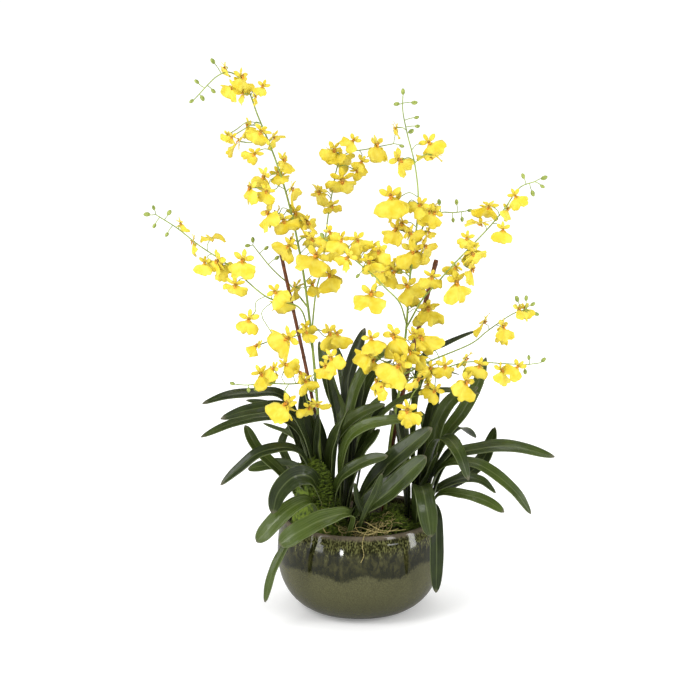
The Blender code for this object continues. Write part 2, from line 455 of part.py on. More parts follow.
def build_bowl(collection):
    inner = [(bowl_radius(height) - BOWL_WALL, height)
             for height in (*inner_heights(), BOWL_HEIGHT - BOWL_WALL / 2)]
    outer = [(bowl_radius(BOWL_HEIGHT * share), BOWL_HEIGHT * share)
             for share in (0.965, 0.85, 0.72, 0.60, 0.45, 0.30, 0.16, 0.06, 0.0)]
    rim_centre = RIM_RADIUS - BOWL_WALL / 2
    rim = [(rim_centre + BOWL_WALL / 2 * math.sin(math.radians(turn)) * 0.9,
            BOWL_HEIGHT - BOWL_WALL / 2 * (1 - math.cos(math.radians(turn)))) for turn in (-60, 0, 60)]
    profile = [(0.0, BOWL_FLOOR), *inner, *rim, *outer, (0.0, 0.0)]
    glaze = material("glazed_stoneware", (0.055, 0.060, 0.030), 0.12)
    turned("bowl", profile, glaze, collection)


def build_medium(collection):
    """Potting mix: it stands on the bowl's floor and fills it to the planting level."""
    wall = [[bowl_radius(height) - BOWL_WALL - SOIL_SIDE_GAP, height] for height in reversed(inner_heights())]
    wall[-1][1] += GAP
    profile = [(0.0, wall[0][1]), *wall, (0.0, wall[-1][1])]
    turned("growing_medium", profile, material("potting_mix", (0.045, 0.030, 0.018), 0.95), collection)


def build_moss(collection):
    """Low cushions of moss that lie on the potting mix between the crowns."""
    moss = material("moss", (0.12, 0.15, 0.035), 0.95)
    for name, (x, y, half_width, half_depth, height) in MOSS.items():
        bm = bmesh.new()
        bmesh.ops.create_uvsphere(bm, u_segments=12, v_segments=8, radius=1.0)
        below = [vert for vert in bm.verts if vert.co.z < 0]
        for vert in below:
            vert.co.z *= 0.05
        lowest = min(vert.co.z for vert in bm.verts)
        for vert in bm.verts:
            place = placed((x + vert.co.x * half_width, y + vert.co.y * half_depth, LAYOUT_SOIL_LEVEL))
            vert.co = place + Vector((0, 0, GAP + (vert.co.z - lowest) * height))
        mesh = bpy.data.meshes.new(name)
        bm.to_mesh(mesh)
        bm.free()
        add_object(name, mesh, moss, collection)


def build_stakes(collection):
    """Two thin bamboo canes that stand on the planting level behind the spikes."""
    bamboo = material("bamboo", (0.20, 0.055, 0.018), 0.5)
    for name, points, radius in (("stake_left", STAKE_LEFT, STAKE_LEFT_RADIUS),
                                 ("stake_right", STAKE_RIGHT, STAKE_RIGHT_RADIUS)):
        route = smooth_route([placed(point) for point in points], 3)
        route[0].z += GAP + radius
        cane = tube_object(name + "_curve", route, [radius] * len(route), bamboo, collection)
        add_object(name, as_mesh(cane, name), bamboo, collection)


# --- leaves ---------------------------------------------------------------------------------------
def leaf_half_width(share, width):
    """Half the leaf's width along its length: a narrow foot, a parallel strap and a pointed tip."""
    foot = min(1.0, 0.22 + 1.25 * share)
    tip = 1.0
    if share > 0.6:
        tip = max(0.10, (1 - ((share - 0.6) / 0.4) ** 2) ** 0.6)
    return width / 2 * foot * tip


def build_leaf(name, row, mat, collection):
    crown, foot_distance, width, spin, points = row
    crown_centre = placed((*crown, LAYOUT_SOIL_LEVEL))
    path = [placed(point) for point in points]
    outward = path[0] - crown_centre
    outward.z = 0
    foot = crown_centre + outward.normalized() * foot_distance
    foot.z = SOIL_LEVEL + LEAF_ROOT_CLEARANCE
    places = stations(smooth_route([foot, *path], 6), LEAF_STATIONS)

    bearing = path[-1] - foot
    side = Vector((bearing.y, -bearing.x, 0)).normalized()
    bm = bmesh.new()
    bmesh.ops.create_grid(bm, x_segments=2, y_segments=LEAF_STATIONS, size=1.0)
    for vert in bm.verts:
        across = vert.co.x
        share = (vert.co.y + 1) / 2
        index = round(share * LEAF_STATIONS)
        ahead = places[min(index + 1, LEAF_STATIONS)]
        behind = places[max(index - 1, 0)]
        along = (ahead - behind).normalized()
        spread = (side - along * side.dot(along)).normalized()
        twist = math.radians(spin) * min(1.0, share / LEAF_TWIST_SHARE)
        spread.rotate(Matrix.Rotation(twist, 3, along))
        upper = spread.cross(along)
        half = leaf_half_width(share, width)
        fold = LEAF_FOLD * (1 - 0.5 * share) * half * abs(across)
        vert.co = places[index] + spread * across * half + upper * fold
    mesh = bpy.data.meshes.new(name)
    bm.to_mesh(mesh)
    bm.free()
    leaf = add_object(name, mesh, mat, collection)
    solid = leaf.modifiers.new("thickness", "SOLIDIFY")
    solid.thickness = LEAF_THICKNESS
    solid.offset = 0.0


# --- flower sprays --------------------------------------------------------------------------------
def blossom_template(collection):
    """A flat blossom of unit lip width in the XZ plane, facing -Y."""
    half = [(math.radians(angle), radius) for angle, radius in BLOSSOM_OUTLINE]
    other = [(math.pi - angle, radius) for angle, radius in reversed(half[1:-1])]
    curve = bpy.data.curves.new("blossom_outline", "CURVE")
    curve.dimensions = "2D"
    curve.fill_mode = "BOTH"
    curve.extrude = 0.5
    spline = curve.splines.new("POLY")
    outline = [*half, *other]
    spline.points.add(len(outline) - 1)
    spline.use_cyclic_u = True
    for point, (angle, radius) in zip(spline.points, outline):
        point.co = (radius * math.cos(angle), radius * math.sin(angle), 0.0, 1.0)
    obj = bpy.data.objects.new("blossom_outline", curve)
    collection.objects.link(obj)
    obj.rotation_euler = (math.radians(90), 0, 0)
    bpy.context.view_layer.update()
    return as_mesh(obj, "blossom_template")


def blossom_matrix(row):
    x, y, z, lip_width, yaw, tilt, roll = row
    turn = (Matrix.Rotation(math.radians(yaw), 4, "Z") @ Matrix.Rotation(math.radians(tilt), 4, "X")
            @ Matrix.Rotation(math.radians(roll), 4, "Y"))
    size = Matrix.Diagonal((lip_width, BLOSSOM_THICKNESS, lip_width, 1.0))
    return Matrix.Translation(placed((x, y, z))) @ turn @ size


def add_pedicel(bm, place, route):
    """A thin stalk from a place on the spray to the nearest point of the stem."""
    nearest = min(route, key=lambda point: (point - place).length)
    if (place - nearest).length < 2 * PEDICEL_RADIUS:
        return
    start = nearest - (place - nearest).normalized() * PEDICEL_RADIUS
    run = place - start
    turn = Vector((0, 0, 1)).rotation_difference(run).to_matrix().to_4x4()
    bmesh.ops.create_cone(bm, cap_ends=True, segments=4, radius1=PEDICEL_RADIUS, radius2=PEDICEL_RADIUS,
                          depth=run.length, matrix=Matrix.Translation((place + start) / 2) @ turn)


def add_bud(bm, place, route):
    nearest = min(route, key=lambda point: (point - place).length)
    run = place - nearest
    if run.length < PEDICEL_RADIUS:
        run = Vector((0, 0, 1))
    turn = Vector((0, 0, 1)).rotation_difference(run).to_matrix().to_4x4()
    size = Matrix.Diagonal((BUD_WIDTH / 2, BUD_WIDTH / 2, BUD_LENGTH / 2, 1.0))
    bmesh.ops.create_icosphere(bm, subdivisions=1, radius=1.0, matrix=Matrix.Translation(place) @ turn @ size)


def joint_on(spike_route, spike_radii, height, toward):
    """The place where a branch starts: just off the spike's skin, on the side the branch leaves to."""
    index = min(range(len(spike_route)), key=lambda i: abs(spike_route[i].z - height))
    away = toward - spike_route[index]
    away.z = 0
    reach = spike_radii[index] + BRANCH_BASE_RADIUS + BRANCH_JOINT_GAP
    return spike_route[index] + away.normalized() * reach


def build_spray(name, spray, stems, template, mats, collection, operands):
    points = [placed(point) for point in spray["route"]]
    base_radius = STEM_BASE_RADIUS
    if spray["parent"]:
        points.insert(0, joint_on(*stems[spray["parent"]], spray["leaves_at"] + RISE, points[0]))
        base_radius = BRANCH_BASE_RADIUS
    else:
        points[0].z += GAP + STEM_BASE_RADIUS / 2
    route = smooth_route(points, 2)
    radii = []
    for index in range(len(route)):
        share = index / (len(route) - 1)
        radii.append(base_radius + (STEM_TIP_RADIUS - base_radius) * share)
    stems[name] = (route, radii)
    stem = tube_object(name + "_curve", route, radii, mats["stem"], operands)
    mesh = as_mesh(stem, name)
    body = add_object(name, mesh, mats["petal"], collection)

    short_of_the_tip = stations(route, 12 * len(points))[:-1]
    bm = bmesh.new()
    for row in spray["blossoms"]:
        blossom = template.copy()
        blossom.transform(blossom_matrix(row))
        bm.from_mesh(blossom)
        bpy.data.meshes.remove(blossom)
        add_pedicel(bm, placed(row[:3]), short_of_the_tip)
    for place in spray["buds"]:
        add_bud(bm, placed(place), short_of_the_tip)
        add_pedicel(bm, placed(place), short_of_the_tip)
    flowers_mesh = bpy.data.meshes.new(name + "_flowers")
    bm.to_mesh(flowers_mesh)
    bm.free()
    flowers = add_object(name + "_flowers", flowers_mesh, mats["petal"], operands)
    flowers.hide_render = True
    flowers.display_type = "WIRE"
    union = body.modifiers.new("flowers", "BOOLEAN")
    union.operation = "UNION"
    union.solver = "EXACT"
    union.use_self = True
    union.object = flowers


def main():
    clear_scene()
    parts = new_collection("potted_orchid")
    operands = new_collection("operands")
    build_bowl(parts)
    build_medium(parts)
    build_moss(parts)
    build_stakes(parts)
    leaf_green = material("leaf", (0.050, 0.105, 0.028), 0.35)
    for name, row in LEAVES.items():
        build_leaf(name, row, leaf_green, parts)
    mats = {"stem": material("stem", (0.16, 0.26, 0.06), 0.5),
            "petal": material("petal", (0.93, 0.62, 0.02), 0.55)}
    template = blossom_template(operands)
    stems = {}
    for name, spray in SPIKES.items():
        build_spray(name, spray, stems, template, mats, parts, operands)


main()
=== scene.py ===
"""Looks of the potted oncidium: a glazed bowl planted with strap leaves, moss and two flower spikes.

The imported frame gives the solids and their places; this script builds the fine surfaces that stand for
them, gives each a procedural finish, and sets the studio. Lengths are metres and +Z is up.
"""

import json
import logging
import math
import random
from collections.abc import Callable, Iterable, Sequence
from dataclasses import dataclass
from enum import Enum, IntEnum

import bmesh
import bpy
from mathutils import Matrix, Vector, noise

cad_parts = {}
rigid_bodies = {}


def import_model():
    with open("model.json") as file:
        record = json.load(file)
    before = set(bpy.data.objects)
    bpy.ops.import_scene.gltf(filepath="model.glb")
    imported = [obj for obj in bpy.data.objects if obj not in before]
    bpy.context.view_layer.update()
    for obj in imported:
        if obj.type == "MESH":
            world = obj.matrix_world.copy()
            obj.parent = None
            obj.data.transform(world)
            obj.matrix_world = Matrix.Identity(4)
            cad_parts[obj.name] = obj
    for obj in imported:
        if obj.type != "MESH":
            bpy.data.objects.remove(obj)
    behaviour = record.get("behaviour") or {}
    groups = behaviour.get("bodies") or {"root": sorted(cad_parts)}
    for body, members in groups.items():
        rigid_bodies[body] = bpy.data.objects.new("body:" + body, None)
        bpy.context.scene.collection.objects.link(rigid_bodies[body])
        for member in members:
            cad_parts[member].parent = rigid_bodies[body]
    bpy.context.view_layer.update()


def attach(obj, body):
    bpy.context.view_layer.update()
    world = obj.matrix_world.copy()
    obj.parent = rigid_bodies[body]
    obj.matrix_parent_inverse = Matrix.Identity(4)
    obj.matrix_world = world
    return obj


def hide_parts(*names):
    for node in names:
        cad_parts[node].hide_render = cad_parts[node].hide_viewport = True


LOG = logging.getLogger("potted_orchid")
Point = tuple[float, float, float]
Colour = tuple[float, float, float]

ROOT_BODY = "root"
BLOSSOM_KINDS = 9


# --- where things stand ---------------------------------------------------------------------------
# Middles of the two clumps, across and deep.
CROWN_LEFT = (-0.034, -0.022)
CROWN_RIGHT = (0.072, -0.006)


# --- shader writing -------------------------------------------------------------------------------
class Value:
    """A number socket in a material's node tree, which can be written in arithmetic."""

    def __init__(self, shader: "Shader", socket: bpy.types.NodeSocket) -> None:
        """Wraps a socket of a shader."""
        self.shader = shader
        self.socket = socket

    def math(self, operation: str, *others: "Value | float", clamp: bool = False) -> "Value":
        """Adds a Math node.

        Args:
            operation: the Math node's operation.
            others: the second and third numbers, as values or plain numbers.
            clamp: whether the result is held between 0 and 1.

        Returns:
            The node's result.
        """
        inputs = {0: self, **{index + 1: other for index, other in enumerate(others)}}
        node = self.shader.node("ShaderNodeMath", {"operation": operation, "use_clamp": clamp}, inputs)
        return Value(self.shader, node.outputs[0])

    def __add__(self, other: "Value | float") -> "Value":
        """Sum."""
        return self.math("ADD", other)

    def __radd__(self, other: float) -> "Value":
        """Sum with a plain number on the left."""
        return self.math("ADD", other)

    def __sub__(self, other: "Value | float") -> "Value":
        """Difference."""
        return self.math("SUBTRACT", other)

    def __rsub__(self, other: float) -> "Value":
        """Difference from a plain number."""
        return self.math("MULTIPLY", -1.0).math("ADD", other)

    def __mul__(self, other: "Value | float") -> "Value":
        """Product."""
        return self.math("MULTIPLY", other)

    def __rmul__(self, other: float) -> "Value":
        """Product with a plain number on the left."""
        return self.math("MULTIPLY", other)

    def __truediv__(self, other: "Value | float") -> "Value":
        """Quotient."""
        return self.math("DIVIDE", other)

    def __pow__(self, other: float) -> "Value":
        """Power."""
        return self.math("POWER", other)

    def step(self, low: float, high: float) -> "Value":
        """A smooth 0 to 1 ramp as the value goes from low to high; high may be the lower one.

        Args:
            low: the value that gives 0.
            high: the value that gives 1.

        Returns:
            The ramp.
        """
        node = self.shader.node(
            "ShaderNodeMapRange", {"interpolation_type": "SMOOTHSTEP", "clamp": True},
            {"Value": self, "From Min": low, "From Max": high, "To Min": 0.0, "To Max": 1.0})
        return Value(self.shader, node.outputs[0])


class Shader:
    """A material under construction: its node tree, its Principled shader and short ways to add nodes."""

    def __init__(self, name: str, roughness: float, specular: float = 0.5, **constants: float) -> None:
        """Makes a material.

        Args:
            name: the material's name.
            roughness: the starting roughness.
            specular: the shader's specular level.
            constants: other sockets of the Principled shader, with spaces written as underscores.
        """
        self.material = bpy.data.materials.new(name)
        self.material.use_nodes = True
        self.tree = self.material.node_tree
        self.surface = self.tree.nodes["Principled BSDF"]
        self.surface.inputs["Roughness"].default_value = roughness
        self.surface.inputs["Specular IOR Level"].default_value = specular
        for key, value in constants.items():
            self.surface.inputs[key.replace("_", " ")].default_value = value
        self.place = self.node("ShaderNodeTexCoord").outputs["Object"]

    def node(self, kind: str, settings: dict | None = None, inputs: dict | None = None) -> bpy.types.Node:
        """Adds a node.

        Args:
            kind: the node's type.
            settings: properties that are set first.
            inputs: values or links for its sockets, by name or number.

        Returns:
            The node.
        """
        made = self.tree.nodes.new(kind)
        for key, value in (settings or {}).items():
            setattr(made, key, value)
        for key, value in (inputs or {}).items():
            self.feed(made.inputs[key], value)
        return made

    def feed(self, socket: bpy.types.NodeSocket, value: object) -> None:
        """Links or sets a socket.

        Args:
            socket: the socket to feed.
            value: a Value, another socket, a colour or a number.
        """
        if isinstance(value, Value):
            self.tree.links.new(value.socket, socket)
        elif isinstance(value, bpy.types.NodeSocket):
            self.tree.links.new(value, socket)
        elif isinstance(value, tuple) and socket.type == "RGBA":
            socket.default_value = (*value, 1.0)
        else:
            socket.default_value = value

    def scaled(self, scale: Point, source: bpy.types.NodeSocket | None = None) -> bpy.types.NodeSocket:
        """Coordinates stretched by a scale on each axis, from the object's own unless another is given."""
        node = self.node("ShaderNodeMapping", None, {"Vector": source or self.place, "Scale": scale})
        return node.outputs[0]

    def noise(self, scale: float, detail: float = 2.0, vector: bpy.types.NodeSocket | None = None,
              distortion: float = 0.0) -> Value:
        """Smooth noise around 0.5.

        Args:
            scale: grains per metre.
            detail: octaves.
            vector: coordinates other than the object's own.
            distortion: how far the pattern is swirled.

        Returns:
            The noise.
        """
        node = self.node("ShaderNodeTexNoise", None, {
            "Vector": vector or self.place, "Scale": scale, "Detail": detail, "Distortion": distortion})
        return Value(self, node.outputs["Fac"])

    def cells(self, scale: float, feature: str = "F1", vector: bpy.types.NodeSocket | None = None) -> Value:
        """Distance within Voronoi cells.

        Args:
            scale: cells per metre.
            feature: the Voronoi feature.
            vector: coordinates other than the object's own.

        Returns:
            The distance.
        """
        node = self.node("ShaderNodeTexVoronoi", {"feature": feature},
                         {"Vector": vector or self.place, "Scale": scale})
        return Value(self, node.outputs["Distance"])

    def axes(self) -> tuple[Value, Value, Value]:
        """The object's own X, Y and Z."""
        node = self.node("ShaderNodeSeparateXYZ", None, {0: self.place})
        return tuple(Value(self, node.outputs[index]) for index in range(3))

    def sheet(self) -> tuple[Value, Value, bpy.types.NodeSocket]:
        """Place on a leaf or petal, from its UV map.

        Returns:
            The place across, the place along, and both as a vector.
        """
        uv = self.node("ShaderNodeUVMap", {"uv_map": "sheet"}).outputs[0]
        node = self.node("ShaderNodeSeparateXYZ", None, {0: uv})
        return Value(self, node.outputs[0]), Value(self, node.outputs[1]), uv

    def tone(self) -> Value:
        """The piece's own random tone from 0 to 1, kept in its tone attribute."""
        node = self.node("ShaderNodeAttribute", {"attribute_name": "tone"})
        return Value(self, node.outputs["Fac"])

    def mix(self, share: Value | float, low: object, high: object) -> bpy.types.NodeSocket:
        """A colour between two others.

        Args:
            share: 0 for the first colour and 1 for the second.
            low: the first colour or colour socket.
            high: the second colour or colour socket.

        Returns:
            The mixed colour.
        """
        return self.node("ShaderNodeMix", {"data_type": "RGBA"}, {0: share, 6: low, 7: high}).outputs[2]

    def finish(self, colour: bpy.types.NodeSocket, roughness: Value | None = None,
               height: Value | None = None, relief: float = 0.0005,
               strength: float = 0.5) -> bpy.types.Material:
        """Connects the finish and returns the material.

        Args:
            colour: the base colour.
            roughness: a varying roughness.
            height: relief from 0 to 1.
            relief: the depth in metres that a height of 1 stands for.
            strength: the bump's strength.

        Returns:
            The material.
        """
        self.feed(self.surface.inputs["Base Color"], colour)
        if roughness is not None:
            self.feed(self.surface.inputs["Roughness"], roughness)
        if height is not None:
            bump = self.node("ShaderNodeBump", None, {
                "Strength": strength, "Distance": relief, "Height": height})
            self.feed(self.surface.inputs["Normal"], bump.outputs[0])
        return self.material


# --- finishes -------------------------------------------------------------------------------------
@dataclass(frozen=True)
class GlazeFinish:
    """Reactive glaze: a dark olive coat that ran over a greyer clay-green one, speckled under the rim.

    Attributes:
        coat_edge: the mean height of the dark coat's wavy lower edge.
        edge_blur: half the height over which that edge fades.
        rim_height: the height of the bowl's rim.
        dark: the dark coat where it is thick, its dark specks, and the painted shade towards the foot.
        olive: the dark coat where it is thin.
        lower: the coat below it.
        halo: the pale net of speckles under the rim.
        rim: the bare-looking rim, where the glaze ran off.
    """

    coat_edge: float = 0.077
    edge_blur: float = 0.0035
    rim_height: float = 0.128
    dark: Colour = (0.010, 0.011, 0.003)
    olive: Colour = (0.042, 0.041, 0.013)
    lower: Colour = (0.076, 0.074, 0.030)
    halo: Colour = (0.160, 0.165, 0.060)
    rim: Colour = (0.120, 0.096, 0.070)

    def make(self) -> bpy.types.Material:
        """Builds the glaze material.

        Returns:
            The material.
        """
        sh = Shader("reactive_glaze", 0.08, 0.40, Coat_Weight=0.17, Coat_Roughness=0.07)
        _, _, height = sh.axes()
        flat = sh.scaled((1.0, 1.0, 0.0))
        wave = (sh.noise(15.0, 1.0, flat) - 0.5) * 0.046 + (sh.noise(70.0, 1.0, flat) - 0.5) * 0.004
        drips = sh.scaled((1.0, 1.0, 0.55))
        blot = sh.noise(150.0, 3.0, drips, 0.6)
        fine = sh.noise(900.0, 3.0)
        speck = sh.cells(500.0, "F1", drips)
        ragged = height - wave + (speck - 0.4) * 0.006
        above = ragged.step(self.coat_edge - self.edge_blur, self.coat_edge + self.edge_blur)
        brink = (height - wave).step(self.coat_edge + 0.016, self.coat_edge + 0.001)
        upper = sh.mix(blot.step(0.36, 0.66) * (1.0 - brink * 0.7), self.dark, self.olive)
        halo_zone = (height + (blot - 0.5) * 0.05).step(0.098, 0.112)
        halo_net = speck.step(0.46, 0.70) * halo_zone
        upper = sh.mix(halo_net * 0.55, upper, self.halo)
        upper = sh.mix(speck.step(0.34, 0.20) * halo_zone * 0.8, upper, self.dark)
        rim_zone = (height + (blot - 0.5) * 0.006).step(self.rim_height - 0.0075, self.rim_height - 0.002)
        upper = sh.mix(rim_zone * 0.8, upper, self.rim)
        pale, deep = (tuple(share * level for level in self.lower) for share in (1.12, 0.66))
        lower = sh.mix(fine.step(0.35, 0.65), pale, deep)
        lower = sh.mix(sh.cells(700.0).step(0.22, 0.10) * 0.6, lower, self.dark)
        lower = sh.mix(sh.cells(460.0).step(0.20, 0.10) * 0.35, lower, self.halo)
        # Painted shade: the lower coat darkens towards the foot, under the belly.
        lower = sh.mix(height.step(0.060, 0.0) * 0.45, lower, self.dark)
        colour = sh.mix(above, lower, upper)
        roughness = 0.17 - above * 0.12 + fine * 0.06
        relief = above * 0.5 + blot * 0.25 + fine * 0.05
        return sh.finish(colour, roughness, relief, 0.0004, 0.35)


@dataclass(frozen=True)
class LeafFinish:
    """Waxy strap leaf: dark green, with parallel veins, a paler midrib and edge, and a dry tip.
    The pale veins also carry painted highlight streaks, and each blade has painted shade towards its foot.

    Attributes:
        deep: the green of old leaves, and painted shade towards a blade's foot in the crown.
        fresh: the green of young leaves.
        pale: the veins, which also carry painted highlight streaks, the midrib and the edge.
        dry: the tip.
    """

    deep: Colour = (0.008, 0.016, 0.001)
    fresh: Colour = (0.050, 0.079, 0.007)
    pale: Colour = (0.170, 0.205, 0.075)
    dry: Colour = (0.120, 0.110, 0.070)

    def make(self) -> bpy.types.Material:
        """Builds the leaf material.

        Returns:
            The material.
        """
        sh = Shader("waxy_leaf", 0.36, 0.34, Coat_Weight=0.24, Coat_Roughness=0.10)
        across, along, sheet = sh.sheet()
        tone = sh.tone()
        stretched = sh.scaled((42.0, 1.2, 1.0), sheet)
        veins = sh.noise(1.0, 3.0, stretched)
        blotch = sh.noise(38.0, 3.0)
        # Painted shade: the along term darkens each blade towards its foot in the crown; the tone varies at
        # random from leaf to leaf.
        fresh = (tone * 0.75 + along * 0.25 + (blotch - 0.5) * 0.7).step(0.12, 1.0)
        colour = sh.mix(fresh, self.deep, self.fresh)
        # Pale vein streaks: partly real veins and partly painted highlight streaks, stronger on leaves of
        # high tone.
        colour = sh.mix(veins.step(0.48, 0.70) * (tone * 0.42 + 0.12), colour, self.pale)
        centre = (across - 0.5).math("ABSOLUTE")
        colour = sh.mix(centre.step(0.055, 0.012) * (1.0 - along * 0.6) * 0.55, colour, self.pale)
        colour = sh.mix(centre.step(0.47, 0.5) * 0.5, colour, self.pale)
        colour = sh.mix((along + (blotch - 0.5) * 0.05).step(0.965, 1.0) * 0.8, colour, self.dry)
        roughness = 0.22 + sh.noise(70.0, 2.0) * 0.22
        relief = veins * 0.8 + sh.noise(220.0, 2.0) * 0.2
        return sh.finish(colour, roughness, relief, 0.0009, 0.6)


class PetalPart(Enum):
    """The two kinds of petal, which are marked in different ways."""

    LIP = "lip"
    SEPAL = "sepal"


@dataclass(frozen=True)
class PetalFinish:
    """Soft petal: clear yellow with fine veins; sepals carry orange-brown bars, the lip a warm throat."""

    part: PetalPart
    yellow: Colour = (0.640, 0.490, 0.010)
    light: Colour = (0.715, 0.610, 0.060)
    amber: Colour = (0.620, 0.360, 0.006)
    brown: Colour = (0.300, 0.105, 0.010)

    def make(self) -> bpy.types.Material:
        """Builds the petal material.

        Returns:
            The material.
        """
        sh = Shader(f"petal_{self.part.value}", 0.52, 0.35, Sheen_Weight=0.12)
        across, along, sheet = sh.sheet()
        veins = sh.noise(1.0, 2.0, sh.scaled((26.0, 2.0, 1.0), sheet))
        cloud = sh.noise(95.0, 2.0)
        colour = sh.mix(cloud.step(0.30, 0.70), self.yellow, self.light)
        colour = sh.mix(veins.step(0.50, 0.75) * 0.22, colour, self.amber)
        if self.part is PetalPart.LIP:
            colour = sh.mix(along.step(0.36, 0.05) * 0.35, colour, self.amber)
            colour = sh.mix((along + (cloud - 0.5) * 0.2).step(0.14, 0.04) * 0.75, colour, self.brown)
        else:
            bars = (along * 26.0 + (cloud - 0.5) * 7.0).math("SINE")
            bars = bars.step(0.30, 0.90) * along.step(0.62, 0.20)
            colour = sh.mix(bars * 0.48, colour, self.brown)
            colour = sh.mix(along.step(0.40, 0.05) * 0.22, colour, self.amber)
        relief = veins * 0.7 + cloud * 0.3
        return sh.finish(colour, 0.45 + veins * 0.15, relief, 0.0004, 0.4)


@dataclass(frozen=True)
class GrainFinish:
    """A plain natural surface that varies between two colours in stretched grains.

    Attributes:
        name: the material's name.
        low: one colour.
        high: the other colour.
        scale: grains per metre on each axis.
        roughness: the surface's roughness.
        relief: the depth of the grain in metres.
        detail: octaves of the grain.
    """

    name: str
    low: Colour
    high: Colour
    scale: Point
    roughness: float
    relief: float = 0.0003
    detail: float = 3.0

    def make(self) -> bpy.types.Material:
        """Builds the material.

        Returns:
            The material.
        """
        sh = Shader(self.name, self.roughness, 0.35)
        grain = sh.noise(1.0, self.detail, sh.scaled(self.scale))
        broad = sh.noise(45.0, 2.0)
        colour = sh.mix((grain * 0.7 + broad * 0.3).step(0.34, 0.64), self.low, self.high)
        return sh.finish(colour, self.roughness - 0.08 + grain * 0.16, grain, self.relief, 0.6)


@dataclass(frozen=True)
class CaneFinish:
    """Red-brown bamboo with long fibres and darker, dusty joints."""

    skin: Colour = (0.230, 0.070, 0.022)
    dark: Colour = (0.070, 0.020, 0.008)
    joint_spacing: float = 0.062

    def make(self) -> bpy.types.Material:
        """Builds the cane material.

        Returns:
            The material.
        """
        sh = Shader("bamboo_cane", 0.42, 0.45)
        _, _, height = sh.axes()
        fibre = sh.noise(1.0, 3.0, sh.scaled((1500.0, 1500.0, 26.0)))
        blotch = sh.noise(60.0, 3.0)
        colour = sh.mix((fibre * 0.6 + blotch * 0.4).step(0.35, 0.65), self.dark, self.skin)
        joint = (height / self.joint_spacing).math("FRACT")
        ring = (joint - 0.5).math("ABSOLUTE").step(0.035, 0.012)
        colour = sh.mix(ring * 0.75, colour, self.dark)
        return sh.finish(colour, 0.34 + blotch * 0.2, fibre * 0.6 + ring * 0.8, 0.0004, 0.6)


@dataclass(frozen=True)
class FloorFinish:
    """A white studio floor with the faintest tooth.
    It glows as painted light, dimmer near the plant, and shows a painted darker grey in reflections.

    Attributes:
        white: the floor's own white.
        glow: the dimmer glow near the plant.
        reflected: the darker grey that the glaze and the leaves reflect.
        near: the distance from the plant at which the glow starts to grow.
        far: the distance at which it is full.
    """

    white: Colour = (0.93, 0.93, 0.93)
    glow: Colour = (0.30, 0.30, 0.30)
    reflected: Colour = (0.16, 0.16, 0.16)
    near: float = 0.35
    far: float = 1.6

    def make(self) -> bpy.types.Material:
        """Builds the floor material.

        Returns:
            The material.
        """
        sh = Shader("studio_floor", 0.75, 0.2, Emission_Strength=0.55)
        east, north, _ = sh.axes()
        away = (east * east + north * north) ** 0.5
        tooth = sh.noise(60.0, 2.0)
        mirrored = Value(sh, sh.node("ShaderNodeLightPath").outputs["Is Glossy Ray"])
        colour = sh.mix(tooth, tuple(0.985 * level for level in self.white), self.white)
        colour = sh.mix(mirrored * 0.8, colour, self.reflected)
        # Painted light: the floor glows, dimmer near the plant and darker in reflections.
        glow = sh.mix(away.step(self.near, self.far), self.glow, self.white)
        sh.feed(sh.surface.inputs["Emission Color"], sh.mix(mirrored, glow, self.reflected))
        return sh.finish(colour, None, tooth, 0.0001, 0.1)


@dataclass(frozen=True)
class Finishes:
    """Every material of the plant, made once and shared."""

    leaf: bpy.types.Material
    stem: bpy.types.Material
    bud: bpy.types.Material
    sepal: bpy.types.Material
    lip: bpy.types.Material
    callus: bpy.types.Material
    glaze: bpy.types.Material
    soil: bpy.types.Material
    bark: bpy.types.Material
    moss: bpy.types.Material
    root: bpy.types.Material
    cane: bpy.types.Material

    @classmethod
    def make_all(cls) -> "Finishes":
        """Builds all the materials.

        Returns:
            The materials.
        """
        stem = GrainFinish("green_stem", (0.150, 0.220, 0.035), (0.320, 0.400, 0.080), (500, 500, 60), 0.45)
        bud = GrainFinish("flower_bud", (0.150, 0.210, 0.035), (0.330, 0.390, 0.085), (380, 380, 380), 0.5)
        callus = GrainFinish("callus", (0.330, 0.090, 0.006), (0.840, 0.400, 0.020), (900, 900, 900), 0.45)
        soil = GrainFinish("potting_mix", (0.012, 0.008, 0.005), (0.060, 0.040, 0.024), (420, 420, 420), 0.95,
                           relief=0.0015)
        bark = GrainFinish("bark_chips", (0.030, 0.018, 0.010), (0.130, 0.080, 0.045), (300, 900, 300), 0.9,
                           relief=0.0008)
        moss = GrainFinish("moss", (0.018, 0.034, 0.002), (0.120, 0.175, 0.012), (220, 220, 220), 0.9)
        root = GrainFinish("dry_roots", (0.160, 0.130, 0.045), (0.400, 0.330, 0.125), (700, 700, 700), 0.85)
        return cls(
            leaf=LeafFinish().make(), stem=stem.make(), bud=bud.make(),
            sepal=PetalFinish(PetalPart.SEPAL).make(), lip=PetalFinish(PetalPart.LIP).make(),
            callus=callus.make(), glaze=GlazeFinish().make(), soil=soil.make(), bark=bark.make(),
            moss=moss.make(), root=root.make(), cane=CaneFinish().make())


# --- shape helpers --------------------------------------------------------------------------------
def smooth_route(points: Sequence[Vector], divisions: int) -> list[Vector]:
    """Centripetal Catmull-Rom curve through the points.

    Args:
        points: the places that the curve passes through.
        divisions: equal divisions of each span.

    Returns:
        The curve's points.
    """
    knots = [2 * points[0] - points[1], *points, 2 * points[-1] - points[-2]]
    route = []
    for p0, p1, p2, p3 in zip(knots, knots[1:], knots[2:], knots[3:]):
        t1 = math.sqrt((p1 - p0).length)
        t2 = t1 + math.sqrt((p2 - p1).length)
        t3 = t2 + math.sqrt((p3 - p2).length)
        for step in range(divisions):
            t = t1 + (t2 - t1) * step / divisions
            a1 = p0.lerp(p1, t / t1)
            a2 = p1.lerp(p2, (t - t1) / (t2 - t1))
            a3 = p2.lerp(p3, (t - t2) / (t3 - t2))
            b1, b2 = a1.lerp(a2, t / t2), a2.lerp(a3, (t - t1) / (t3 - t1))
            route.append(b1.lerp(b2, (t - t1) / (t2 - t1)))
    route.append(points[-1].copy())
    return route


